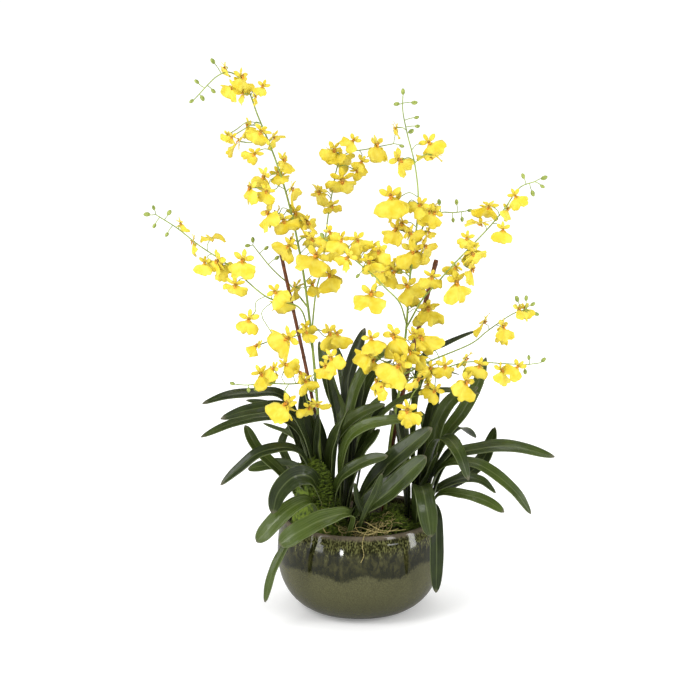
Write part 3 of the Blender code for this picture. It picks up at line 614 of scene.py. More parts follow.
def stations(route: Sequence[Vector], count: int) -> list[Vector]:
    """Points at equal distances along a route.

    Args:
        route: the route's points.
        count: the number of equal parts.

    Returns:
        One more point than there are parts.
    """
    lengths = [0.0]
    for a, b in zip(route, route[1:]):
        lengths.append(lengths[-1] + (b - a).length)
    places, segment = [], 0
    for index in range(count + 1):
        wanted = lengths[-1] * index / count
        while segment < len(route) - 2 and lengths[segment + 1] < wanted:
            segment += 1
        span = max(lengths[segment + 1] - lengths[segment], 1e-9)
        places.append(route[segment].lerp(route[segment + 1], (wanted - lengths[segment]) / span))
    return places


def ramp(value: float, low: float, high: float) -> float:
    """A smooth 0 to 1 ramp as a value goes from low to high."""
    share = min(max((value - low) / (high - low), 0.0), 1.0)
    return share * share * (3 - 2 * share)


def sheet_grid(across: int, along: int, place: Callable[[float, float], Vector]) -> bmesh.types.BMesh:
    """A grid bent into a leaf or petal, with a UV map that runs across and along it.

    Args:
        across: squares across.
        along: squares along.
        place: gives a point from its place across, -1 to 1, and along, 0 to 1.

    Returns:
        The bent grid.
    """
    bm = bmesh.new()
    sheet = bm.loops.layers.uv.new("sheet")
    bmesh.ops.create_grid(bm, x_segments=across, y_segments=along, size=1.0)
    for face in bm.faces:
        for loop in face.loops:
            loop[sheet].uv = ((loop.vert.co.x + 1) / 2, (loop.vert.co.y + 1) / 2)
    for vert in bm.verts:
        vert.co = place(vert.co.x, (vert.co.y + 1) / 2)
    return bm


def thicken(bm: bmesh.types.BMesh, thickness: float) -> None:
    """Gives an open sheet a closed wall with faces that point outwards.

    Args:
        bm: the sheet's bmesh.
        thickness: the wall's thickness.
    """
    bmesh.ops.recalc_face_normals(bm, faces=bm.faces)
    bmesh.ops.solidify(bm, geom=bm.faces[:], thickness=thickness)
    bmesh.ops.recalc_face_normals(bm, faces=bm.faces)


def smoothed(mesh: bpy.types.Mesh) -> bpy.types.Mesh:
    """Gives a mesh smooth shading and returns it."""
    mesh.polygons.foreach_set("use_smooth", [True] * len(mesh.polygons))
    return mesh


def to_mesh(bm: bmesh.types.BMesh, name: str) -> bpy.types.Mesh:
    """Ends a bmesh as a smooth-shaded mesh.

    Args:
        bm: the bmesh, which is freed.
        name: the mesh's name.

    Returns:
        The mesh.
    """
    mesh = bpy.data.meshes.new(name)
    bm.to_mesh(mesh)
    bm.free()
    return smoothed(mesh)


def tubes(name: str, runs: Iterable[tuple[Sequence[Vector], Sequence[float]]], level: int) -> bpy.types.Mesh:
    """Tapered tubes along several runs, as one mesh.

    Args:
        name: the mesh's name.
        runs: pairs of a route and its radii.
        level: the bevel resolution, 0 for four sides.

    Returns:
        The smooth-shaded mesh, with capped ends.
    """
    curve = bpy.data.curves.new(name, "CURVE")
    curve.dimensions = "3D"
    curve.bevel_depth = 1.0
    curve.bevel_resolution = level
    curve.use_fill_caps = True
    for route, radii in runs:
        spline = curve.splines.new("POLY")
        spline.points.add(len(route) - 1)
        for point, place, radius in zip(spline.points, route, radii):
            point.co = (*place, 1.0)
            point.radius = radius
    carrier = bpy.data.objects.new(name, curve)
    bpy.context.scene.collection.objects.link(carrier)
    graph = bpy.context.evaluated_depsgraph_get()
    mesh = bpy.data.meshes.new_from_object(carrier.evaluated_get(graph))
    bpy.data.objects.remove(carrier, do_unlink=True)
    bpy.data.curves.remove(curve)
    mesh.materials.clear()
    return smoothed(mesh)


def add_piece(name: str, mesh: bpy.types.Mesh, materials: Sequence[bpy.types.Material],
              nodes: Sequence[str] = (), tone: float | None = None) -> bpy.types.Object:
    """Puts a finished piece in the scene, rides it on the plant's body and hides the CAD nodes that it stands
    for.

    Args:
        name: the piece's name.
        mesh: its mesh, in place.
        materials: its materials in slot order.
        nodes: the CAD nodes that it stands for.
        tone: the piece's own tone from 0 to 1, if its material varies by it.

    Returns:
        The piece.
    """
    for material in materials:
        mesh.materials.append(material)
    if tone is not None:
        layer = mesh.attributes.new("tone", "FLOAT", "POINT")
        layer.data.foreach_set("value", [tone] * len(mesh.vertices))
    piece = bpy.data.objects.new(name, mesh)
    bpy.context.scene.collection.objects.link(piece)
    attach(piece, ROOT_BODY)
    if nodes:
        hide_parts(*nodes)
    LOG.info("%s: %d faces", name, len(mesh.polygons))
    return piece


# --- bowl and planting bed ------------------------------------------------------------------------
@dataclass(frozen=True)
class Bowl:
    """The turned, glazed bowl. Its sizes repeat the frame's.

    Attributes:
        height: height of the rim.
        belly_radius: the widest outside radius.
        belly_height: where it is widest.
        rim_radius: outside radius at the rim.
        foot_radius: outside radius at the foot.
        wall: thickness of the wall.
        floor: height of the inside floor.
        rim_rise: height of the rolled rim.
        lip_dips: height as a share of the whole, and depth, of the groove under the rim.
        shoulder: the share of the height where the groove ends.
        foot_hollow: depth of the hollow under the foot.
        inside_steps: parts up the inside.
        sides: sides of the turned shape.
    """

    height: float = 0.128
    belly_radius: float = 0.111
    belly_height: float = 0.078
    rim_radius: float = 0.104
    foot_radius: float = 0.052
    wall: float = 0.007
    floor: float = 0.008
    rim_rise: float = 0.00385
    lip_dips: tuple[tuple[float, float], ...] = ((0.950, 0.0004), (0.930, 0.0007), (0.910, 0.0002))
    shoulder: float = 0.89
    foot_hollow: float = 0.0015
    inside_steps: int = 14
    sides: int = 128

    def radius(self, height: float) -> float:
        """Outside radius at a height.

        Args:
            height: the height over the foot.

        Returns:
            The radius.
        """
        if height >= self.belly_height:
            share = (height - self.belly_height) / (self.height - self.belly_height)
            return self.belly_radius - (self.belly_radius - self.rim_radius) * share ** 2
        share = (self.belly_height - height) / self.belly_height
        return self.foot_radius + (self.belly_radius - self.foot_radius) * math.sqrt(1 - share ** 2.2)

    def profile(self) -> list[tuple[float, float]]:
        """The turned outline, from the centre of the floor up the inside, over the rim and down to the foot.

        Returns:
            Pairs of a radius and a height.
        """
        rim_start = self.height - self.rim_rise
        climb = (rim_start - self.floor) / self.inside_steps
        inside = [(self.radius(self.floor + climb * step) - self.wall, self.floor + climb * step)
                  for step in range(self.inside_steps + 1)]
        middle = self.rim_radius - self.wall / 2
        bends = [math.radians(angle) for angle in range(-75, 76, 15)]
        rim = [(middle + self.wall / 2 * math.sin(bend), rim_start + self.rim_rise * math.cos(bend))
               for bend in bends]
        groove = [(self.radius(self.height * share) - dip, self.height * share)
                  for share, dip in self.lip_dips]
        falls = [self.height * self.shoulder * math.cos(math.radians(angle)) for angle in range(0, 91, 3)]
        outside = [(self.radius(fall), fall) for fall in falls]
        foot = [(self.foot_radius - 0.002, 0.0), (self.foot_radius - 0.006, self.foot_hollow)]
        return [(0.0, self.floor), *inside, *rim, *groove, *outside, *foot, (0.0, self.foot_hollow)]

    def build(self, finishes: Finishes) -> None:
        """Turns the profile and dresses it.

        Args:
            finishes: the plant's materials.
        """
        bm = bmesh.new()
        verts = [bm.verts.new((radius, 0.0, height)) for radius, height in self.profile()]
        edges = [bm.edges.new(pair) for pair in zip(verts, verts[1:])]
        bmesh.ops.spin(bm, geom=[*verts, *edges], cent=(0, 0, 0), axis=(0, 0, 1), angle=math.tau,
                       steps=self.sides, use_merge=True)
        bmesh.ops.remove_doubles(bm, verts=bm.verts, dist=0.00001)
        bmesh.ops.recalc_face_normals(bm, faces=bm.faces)
        add_piece("glazed_bowl", to_mesh(bm, "glazed_bowl"), [finishes.glaze], ["bowl"])


@dataclass(frozen=True)
class Bed:
    """Potting mix, bark chips, moss and the dry roots that lie over them.

    Attributes:
        level: mean height of the mix.
        radius: radius of the mix at its top.
        crown_swell: how far the mix swells at the two crowns.
        crown_reach: how far out that swelling goes.
        rings: rings of the mix's disc.
        hub: radius of its middle.
        skirt_level: how deep its skirt goes down inside the bowl.
        skirt_share: the skirt's radius as a share of the top's.
        chips: the number of bark chips.
        strands: the number of moss strands that are tried.
        bare: the moss depth under which the ground stays bare.
        knoll: middle of the tall moss at the left crown, across and deep.
        knoll_rise: its height over the mix.
        knoll_reach: its radius.
        front: middle of the low moss at the front.
        front_rise: its height over the mix.
        roots: the number of short roots.
        strays: runs of the long roots, the first of them over the rim.
        seed: the first random seed.
    """

    level: float = 0.118
    radius: float = 0.0975
    crown_swell: float = 0.012
    crown_reach: float = 0.032
    rings: int = 39
    hub: float = 0.004
    skirt_level: float = 0.040
    skirt_share: float = 0.86
    chips: int = 260
    strands: int = 8400
    bare: float = 0.0028
    knoll: tuple[float, float] = (-0.062, -0.050)
    knoll_rise: float = 0.086
    knoll_reach: float = 0.028
    front: tuple[float, float] = (0.040, -0.062)
    front_rise: float = 0.019
    roots: int = 38
    strays: tuple[tuple[Point, ...], ...] = (
        ((0.020, -0.080, 0.130), (0.012, -0.094, 0.136), (0.006, -0.103, 0.131), (0.003, -0.1085, 0.119),
         (0.005, -0.1115, 0.106), (0.001, -0.1135, 0.097)),
        ((-0.012, -0.080, 0.130), (0.000, -0.092, 0.138), (0.016, -0.099, 0.135), (0.032, -0.095, 0.132),
         (0.050, -0.086, 0.134)),
        ((-0.004, -0.074, 0.140), (0.008, -0.090, 0.144), (0.026, -0.098, 0.136), (0.044, -0.091, 0.133),
         (0.060, -0.080, 0.131)),
        ((-0.020, -0.084, 0.128), (-0.006, -0.096, 0.134), (0.010, -0.101, 0.131), (0.022, -0.096, 0.133)),
        ((0.004, -0.070, 0.142), (-0.006, -0.088, 0.139), (0.000, -0.098, 0.133), (0.014, -0.096, 0.134),
         (0.020, -0.084, 0.136)),
    )
    seed: int = 11

    def surface(self, x: float, y: float) -> float:
        """Height of the potting mix: rough, and swelling round the two crowns.

        Args:
            x: the place across.
            y: the place in depth.

        Returns:
            The height.
        """
        swell = sum(math.exp(-((x - east) ** 2 + (y - north) ** 2) / self.crown_reach ** 2)
                    for east, north in (CROWN_LEFT, CROWN_RIGHT))
        clods = noise.noise(Vector((x * 55, y * 55, 3.0))) * 0.0035
        crumbs = noise.noise(Vector((x * 190, y * 190, 8.0))) * 0.0016
        return self.level - 0.002 + swell * self.crown_swell + clods + crumbs

    def build_soil(self, finishes: Finishes) -> None:
        """Builds a rough disc of mix with a skirt that goes down inside the bowl.

        Args:
            finishes: the plant's materials.
        """
        segments = 96
        bm = bmesh.new()
        bmesh.ops.create_circle(bm, cap_ends=False, radius=self.hub, segments=segments)
        rim = bm.edges[:]
        bmesh.ops.holes_fill(bm, edges=rim, sides=segments)
        for ring in range(1, self.rings + 1):
            wanted = self.hub + (self.radius - self.hub) * ring / self.rings
            grown = bmesh.ops.extrude_edge_only(bm, edges=rim)["geom"]
            rim = [item for item in grown if isinstance(item, bmesh.types.BMEdge)]
            for vert in {vert for edge in rim for vert in edge.verts}:
                vert.co *= wanted / vert.co.length
        for vert in bm.verts:
            vert.co.z = self.surface(vert.co.x, vert.co.y)
        skirt = bmesh.ops.extrude_edge_only(bm, edges=rim)["geom"]
        for vert in (item for item in skirt if isinstance(item, bmesh.types.BMVert)):
            vert.co = (vert.co.x * self.skirt_share, vert.co.y * self.skirt_share, self.skirt_level)
        bmesh.ops.holes_fill(bm, edges=[edge for edge in bm.edges if edge.is_boundary], sides=segments)
        bmesh.ops.recalc_face_normals(bm, faces=bm.faces)
        mesh = to_mesh(bm, "potting_mix")
        add_piece("potting_mix", mesh, [finishes.soil], ["growing_medium"])

    def spots(self, count: int, rng: random.Random, reach: float) -> Iterable[tuple[float, float]]:
        """Even random places on the bed.

        Args:
            count: the number of places.
            rng: the source of the places.
            reach: the greatest distance from the middle.

        Yields:
            A place across and in depth.
        """
        for _ in range(count):
            angle, out = rng.uniform(0, math.tau), reach * math.sqrt(rng.random())
            yield out * math.cos(angle), out * math.sin(angle)

    def mossy_spots(self, rng: random.Random) -> Iterable[tuple[float, float]]:
        """Places for moss strands: half of them even, the others crowded on the two mounds.

        Args:
            rng: the source of the places.

        Yields:
            A place across and in depth.
        """
        yield from self.spots(self.strands // 2, rng, self.radius - 0.004)
        for index in range(self.strands // 2):
            x, y, spread = (*self.front, 0.019) if index % 4 == 3 else (*self.knoll, 0.018)
            yield rng.gauss(x, spread), rng.gauss(y, spread)

    def build_chips(self, finishes: Finishes) -> None:
        """Builds small broken chips of bark, pressed into the mix.

        Args:
            finishes: the plant's materials.
        """
        rng = random.Random(self.seed)
        bm = bmesh.new()
        for x, y in self.spots(self.chips, rng, self.radius - 0.008):
            size = Vector((rng.uniform(0.003, 0.008), rng.uniform(0.002, 0.005), rng.uniform(0.0012, 0.0026)))
            turn = Matrix.Rotation(rng.uniform(0, math.tau), 4, "Z")
            turn @= Matrix.Rotation(rng.gauss(0, 0.5), 4, "X")
            place = Matrix.Translation((x, y, self.surface(x, y) + 0.0008))
            made = bmesh.ops.create_cube(bm, size=1.0, matrix=place @ turn @ Matrix.Diagonal((*size, 1.0)))
            for vert in made["verts"]:
                vert.co += Vector([rng.gauss(0, 0.0005) for _ in range(3)])
        bmesh.ops.bevel(bm, geom=bm.edges[:], offset=0.0003, segments=1, profile=0.5, affect="EDGES",
                        material=-1)
        add_piece("bark_chips", to_mesh(bm, "bark_chips"), [finishes.bark])

    def mound(self, x: float, y: float) -> float:
        """Depth of the moss over the mix: cushions with bare ground between them.

        Args:
            x: the place across.
            y: the place in depth.

        Returns:
            The depth.
        """
        lumps = max(0.0, noise.noise(Vector((x * 34 + 5, y * 34, 1.5))) + 0.32)
        out = math.hypot(x - self.knoll[0], y - self.knoll[1]) / self.knoll_reach
        aside, ahead = (x - self.front[0]) / 0.034, (y - self.front[1]) / 0.022
        left = math.exp(-out ** 3) * self.knoll_rise
        front = math.exp(-(aside ** 2 + ahead ** 2)) * self.front_rise
        return lumps * 0.011 + left + front

    def build_moss(self, finishes: Finishes) -> None:
        """Builds cushions of curled moss strands: stout ones on the tall moss, fine ones elsewhere.

        Args:
            finishes: the plant's materials.
        """
        rng = random.Random(self.seed + 1)
        bands: list[list[tuple[list[Vector], list[float]]]] = [[], []]
        for x, y in self.mossy_spots(rng):
            depth = self.mound(x, y)
            if depth < self.bare:
                continue
            low, high, stout = (0.93, 1.07, 1.6) if depth > 0.02 else (0.25, 1.0, 1.0)
            base = Vector((x, y, self.surface(x, y) + depth * rng.uniform(low, high)))
            heading, run = rng.uniform(0, math.tau), []
            lift = rng.uniform(-0.1, 0.7)
            for step in range(5):
                out = step * rng.uniform(0.0014, 0.0024)
                along = Vector((math.cos(heading), math.sin(heading), lift * 0.8))
                run.append(base + along * out)
                heading += rng.uniform(-0.5, 0.9)
            thick = rng.uniform(0.0003, 0.0006) * stout
            if max(math.hypot(p.x, p.y) for p in run) < self.radius:
                bands[0 if x < 0 else 1].append((run, [thick * share for share in (1.0, 1.3, 1.1, 0.8, 0.3)]))
        for runs, side, node in zip(bands, ("left", "right"), ("moss_left", "moss_front")):
            name = f"moss_cushions_{side}"
            add_piece(name, tubes(name, runs, 0), [finishes.moss], [node])

    def build_knoll(self, finishes: Finishes) -> None:
        """Builds the lumpy body of moss that stands at the left crown, under its strands.

        Args:
            finishes: the plant's materials.
        """
        reach = 0.052

        def place(across: float, share: float) -> Vector:
            """A point of the body.

            Args:
                across: the bearing from its middle, in half turns.
                share: the distance from its middle as a share of its reach.

            Returns:
                The point.
            """
            out = reach * share
            x = self.knoll[0] + out * math.cos(across * math.pi)
            y = self.knoll[1] + out * math.sin(across * math.pi)
            inside = min(1.0, (self.radius - 0.002) / math.hypot(x, y))
            x, y = x * inside, y * inside
            lump = noise.noise(Vector((x * 170, y * 170, 4.0))) * 0.007
            lump += noise.noise(Vector((x * 80, y * 80, 2.0))) * 0.013
            depth = (self.mound(x, y) * 0.93 + lump) * (1.0 - share ** 6)
            return Vector((x, y, self.surface(x, y) + depth - 0.002))

        bm = sheet_grid(64, 40, place)
        bmesh.ops.remove_doubles(bm, verts=bm.verts, dist=0.00002)
        bmesh.ops.recalc_face_normals(bm, faces=bm.faces)
        add_piece("moss_knoll", to_mesh(bm, "moss_knoll"), [finishes.moss], ["moss_left"])

    def build_roots(self, finishes: Finishes) -> None:
        """Builds dry tan filaments that wander over the front of the bed, one of them over the rim.

        Args:
            finishes: the plant's materials.
        """
        rng = random.Random(self.seed + 2)
        runs = []
        for _ in range(self.roots):
            angle = math.radians(rng.gauss(-82, 18))
            out = rng.uniform(0.072, 0.094)
            place = Vector((out * math.cos(angle), out * math.sin(angle), 0))
            heading, run = rng.uniform(0, math.tau), []
            last = 8
            for step in range(last + 1):
                if math.hypot(place.x, place.y) > self.radius - 0.002:
                    break
                ground = self.surface(place.x, place.y) + self.mound(place.x, place.y) * 0.9
                arch = 0.007 * math.sin(math.pi * step / last)
                run.append(Vector((place.x, place.y, ground + 0.0008 + arch)))
                heading += rng.gauss(0, 0.75)
                place += Vector((math.cos(heading), math.sin(heading), 0)) * rng.uniform(0.003, 0.006)
            if len(run) > 3:
                thick = rng.uniform(0.00035, 0.00080)
                smooth = smooth_route(run, 3)
                runs.append((smooth, [thick] * len(smooth)))
        for stray in self.strays:
            smooth = smooth_route([Vector(point) for point in stray], 4)
            runs.append((smooth, [0.00045] * len(smooth)))
        add_piece("dry_roots", tubes("dry_roots", runs, 1), [finishes.root])

    def build(self, finishes: Finishes) -> None:
        """Builds everything that fills the bowl.

        Args:
            finishes: the plant's materials.
        """
        self.build_soil(finishes)
        self.build_chips(finishes)
        self.build_knoll(finishes)
        self.build_moss(finishes)
        self.build_roots(finishes)


@dataclass(frozen=True)
class Cane:
    """A thin bamboo stake with raised joints and a cut top.

    Attributes:
        name: the stake's node.
        radius: its radius between joints.
        points: places that it passes through, from the mix up.
        joint_spacing: the height from joint to joint.
    """

    name: str
    radius: float
    points: tuple[Point, ...]
    joint_spacing: float = 0.062

    def build(self, finishes: Finishes) -> None:
        """Builds the stake along its run.

        Args:
            finishes: the plant's materials.
        """
        route = stations(smooth_route([Vector(point) for point in self.points], 12), 120)
        radii = []
        for place in route:
            from_joint = abs((place.z / self.joint_spacing) % 1.0 - 0.5)
            collar = 0.16 * math.exp(-(from_joint / 0.022) ** 2)
            radii.append(self.radius * (1.0 + collar - 0.05 * ramp(0.12, 0, from_joint)))
        mesh = tubes(self.name, [(route, radii)], 4)
        add_piece(self.name + "_cane", mesh, [finishes.cane], [self.name])


# --- leaves ---------------------------------------------------------------------------------------
@dataclass(frozen=True)
class Leaf:
    """A strap leaf: a folded foot, an arching blade that turns over its run, and a rounded tip.

    Attributes:
        name: the leaf's name.
        crown: middle of the clump that it grows from, across and deep.
        foot_distance: distance of its foot from there.
        width: its greatest width.
        spin: degrees that its blade turns about its run.
        points: places that its midrib passes through, the last of them its tip.
        across: squares across the blade.
        along: squares along it.
        thickness: the blade's thickness.
        soil: height of its foot.
        twist_share: the share of the length over which it turns.
        young_tone: the tone of the young leaves inside a clump.
    """

    name: str
    crown: tuple[float, float]
    foot_distance: float
    width: float
    spin: float
    points: tuple[Point, ...]
    across: int = 10
    along: int = 56
    thickness: float = 0.0011
    soil: float = 0.118
    twist_share: float = 0.45
    young_tone: float = 0.2

    def half_width(self, share: float, shoulder: float) -> float:
        """Half the blade's width.

        Args:
            share: the place along the blade, from 0 to 1.
            shoulder: the share beyond which it narrows to its tip.

        Returns:
            Half the width there.
        """
        foot = min(1.0, 0.24 + 1.25 * share)
        beyond = max(0.0, (share - shoulder) / (1.0 - shoulder))
        tip = max(0.0, 1.0 - beyond ** 2.4) ** 0.55
        return self.width * 0.50 * foot * max(tip, 0.05)

    def build(self, finishes: Finishes, nodes: Sequence[str] = ()) -> None:
        """Bends a grid along the leaf's run, folds it along the midrib and thickens it.

        Args:
            finishes: the plant's materials.
            nodes: the CAD nodes that the leaf stands for.
        """
        rng = random.Random(self.name)
        crown = Vector((*self.crown, self.soil))
        path = [Vector(point) for point in self.points]
        outward = (path[0] - crown) * Vector((1, 1, 0))
        foot = crown + outward.normalized() * self.foot_distance
        places = stations(smooth_route([foot, *path], 14), self.along)
        bearing = path[-1] - foot
        side = Vector((bearing.y, -bearing.x, 0)).normalized()
        phase, twist, shoulder = rng.uniform(0, math.tau), rng.uniform(-5, 5), rng.uniform(0.60, 0.84)

        def place(across: float, share: float) -> Vector:
            """A point of the blade.

            Args:
                across: the place across, -1 to 1.
                share: the place along, 0 to 1.

            Returns:
                The point.
            """
            index = min(round(share * self.along), self.along)
            along = (places[min(index + 1, self.along)] - places[max(index - 1, 0)]).normalized()
            spread = (side - along * side.dot(along)).normalized()
            turn = math.radians(self.spin * min(1.0, share / self.twist_share) + twist * share * share)
            spread.rotate(Matrix.Rotation(turn, 3, along))
            upper = spread.cross(along)
            half = self.half_width(share, shoulder)
            fold = (0.50 - 0.34 * ramp(share, 0.1, 0.9)) * half * (abs(across) ** 1.35)
            wave = 0.05 * half * math.sin(9 * share * math.pi + phase + across) * abs(across)
            wave *= ramp(share, 0.2, 0.5)
            return places[index] + spread * across * half + upper * (fold + wave)

        bm = sheet_grid(self.across, self.along, place)
        thicken(bm, self.thickness)
        tone = rng.random() if nodes else self.young_tone
        add_piece(self.name + "_blade", to_mesh(bm, self.name), [finishes.leaf], nodes, tone)


# --- flowers --------------------------------------------------------------------------------------
class Tissue(IntEnum):
    """A spray's materials, numbered in their slots' order."""

    STEM = 0
    BUD = 1
    SEPAL = 2
    LIP = 3
    CALLUS = 4


@dataclass(frozen=True)
class Blossom:
    """One dancing-lady blossom of unit lip width, facing -Y.

    It has a ruffled two-lobed lip, a warty callus, a winged column, two petals and three sepals.

    Attributes:
        seed: gives each blossom its own ruffles.
        wall: thickness of the petals.
        sepals: direction, length, width and lean of each petal and sepal, as petal() takes them.
        bumps: place and radius of each wart of the callus.
    """

    seed: int
    wall: float = 0.012
    sepals: tuple[tuple[float, ...], ...] = (
        (0, 0.39, 0.18, 0.02), (62, 0.41, 0.22, 0.03), (-62, 0.41, 0.22, 0.03), (142, 0.38, 0.16, 0.10),
        (-142, 0.38, 0.16, 0.10))
    bumps: tuple[tuple[float, ...], ...] = (
        (0.0, -0.10, -0.055, 0.045), (0.045, -0.09, -0.03, 0.034), (-0.045, -0.09, -0.03, 0.034),
        (0.030, -0.10, -0.095, 0.030), (-0.030, -0.10, -0.095, 0.030), (0.0, -0.11, -0.13, 0.024))

    def lip(self) -> bmesh.types.BMesh:
        """The lip: a narrow waist that opens into two ruffled lobes.

        Returns:
            The lip.
        """
        rng = random.Random(self.seed)
        phase, ruffle = rng.uniform(0, math.tau), rng.uniform(0.060, 0.110)
        cup, notch = rng.uniform(-0.22, 0.20), rng.uniform(0.05, 0.18)
        lean, spread, reach_out = rng.uniform(-0.10, 0.10), rng.uniform(52, 76), rng.uniform(0.60, 0.78)

        def place(across: float, share: float) -> Vector:
            """A point of the lip.

            Args:
                across: the place across, -1 to 1.
                share: the distance from the waist, 0 to 1.

            Returns:
                The point.
            """
            opening = math.radians(spread * (0.45 + 0.55 * ramp(share, 0.05, 0.55)))
            angle = across * opening
            edge = reach_out + 0.06 * math.sin(math.pi * min(abs(across) * 1.1, 1.0))
            edge -= 0.18 * abs(across) ** 4 + notch * math.exp(-((across - lean) / 0.10) ** 2)
            crinkle = 0.042 * math.sin(angle * 8.0 + phase) + 0.028 * math.sin(angle * 17.0 + 2.3 * phase)
            reach = (0.05 + 0.95 * share) * (edge + crinkle * share ** 3)
            wave = ruffle * share ** 2 * math.sin(angle * 5.2 + phase)
            wave += 0.45 * ruffle * share ** 3 * math.sin(angle * 13 + phase)
            bulge = -0.05 * math.sin(math.pi * min(share * 0.9, 1.0)) * (1 - across * across)
            back = cup * share * share * (0.3 + across * across)
            depth = bulge + back + wave - 0.02
            return Vector((1.06 * reach * math.sin(angle), depth, -reach * math.cos(angle) - 0.01))

        bm = sheet_grid(16, 8, place)
        thicken(bm, self.wall)
        return bm

    def petal(self, angle: float, length: float, width: float, lean: float,
              rng: random.Random) -> bmesh.types.BMesh:
        """A petal or sepal.

        Args:
            angle: its direction in degrees from straight up, positive towards +X.
            length: its length in lip widths.
            width: its greatest width in lip widths.
            lean: how far its tip leans back, in lip widths.
            rng: the source of its small differences.

        Returns:
            The petal.
        """
        turn = Matrix.Rotation(math.radians(angle + rng.uniform(-13, 13)), 3, "Y")
        phase, twist = rng.uniform(0, math.tau), rng.uniform(-0.5, 0.5)
        lean += rng.uniform(-0.14, 0.10)

        def place(across: float, share: float) -> Vector:
            """A point of the petal.

            Args:
                across: the place across, -1 to 1.
                share: the place along, 0 to 1.

            Returns:
                The point.
            """
            beyond = max(0.0, (share - 0.55) / 0.45)
            half = width / 2 * (0.42 + 0.58 * ramp(share, 0.0, 0.45)) * max(1 - beyond ** 2.2, 0.02) ** 0.6
            wave = 0.022 * math.sin(share * 11 + phase + across) * abs(across)
            depth = lean * share * share + 0.10 * across * across * half
            depth += across * half * twist * share + wave * share
            return turn @ Vector((across * half, depth, 0.03 + length * share))

        bm = sheet_grid(4, 8, place)
        thicken(bm, self.wall)
        return bm

    def callus(self) -> bmesh.types.BMesh:
        """The warty crest at the lip's top.

        Returns:
            The crest.
        """
        rng = random.Random(self.seed + 50)
        bm = bmesh.new()
        for *middle, radius in self.bumps:
            centre = Vector(middle)
            made = bmesh.ops.create_icosphere(bm, subdivisions=1, radius=radius,
                                              matrix=Matrix.Translation(centre))
            for vert in made["verts"]:
                vert.co += (vert.co - centre) * rng.uniform(-0.2, 0.25)
        return bm

    def column(self) -> bmesh.types.BMesh:
        """The short column and its two wings.

        Returns:
            The column.
        """
        bm = bmesh.new()
        stalk = Matrix.Translation((0, -0.07, 0.035)) @ Matrix.Rotation(math.radians(62), 4, "X")
        bmesh.ops.create_cone(bm, cap_ends=True, segments=10, radius1=0.042, radius2=0.030, depth=0.15,
                              matrix=stalk)
        for side in (-1, 1):
            wing = (Matrix.Translation((side * 0.045, -0.10, 0.020)) @ Matrix.Rotation(side * 0.5, 4, "Z")
                    @ Matrix.Diagonal((0.030, 0.014, 0.036, 1)))
            bmesh.ops.create_icosphere(bm, subdivisions=1, radius=1.0, matrix=wing)
        tip = Matrix.Translation((0, -0.135, 0.065))
        bmesh.ops.create_icosphere(bm, subdivisions=1, radius=0.036, matrix=tip)
        return bm

    def build(self) -> bpy.types.Mesh:
        """Joins the parts into one template with its material numbers set.

        Returns:
            The blossom's mesh.
        """
        rng = random.Random(self.seed + 9)
        whole = bmesh.new()
        whole.loops.layers.uv.new("sheet")
        parts = [(self.petal(*sepal, rng), Tissue.SEPAL) for sepal in self.sepals]
        parts += [(self.lip(), Tissue.LIP), (self.callus(), Tissue.CALLUS), (self.column(), Tissue.LIP)]
        for bm, number in parts:
            for face in bm.faces:
                face.material_index = number
                face.smooth = True
            part = bpy.data.meshes.new("part")
            bm.to_mesh(part)
            bm.free()
            whole.from_mesh(part)
            bpy.data.meshes.remove(part)
        return to_mesh(whole, f"blossom_{self.seed}")


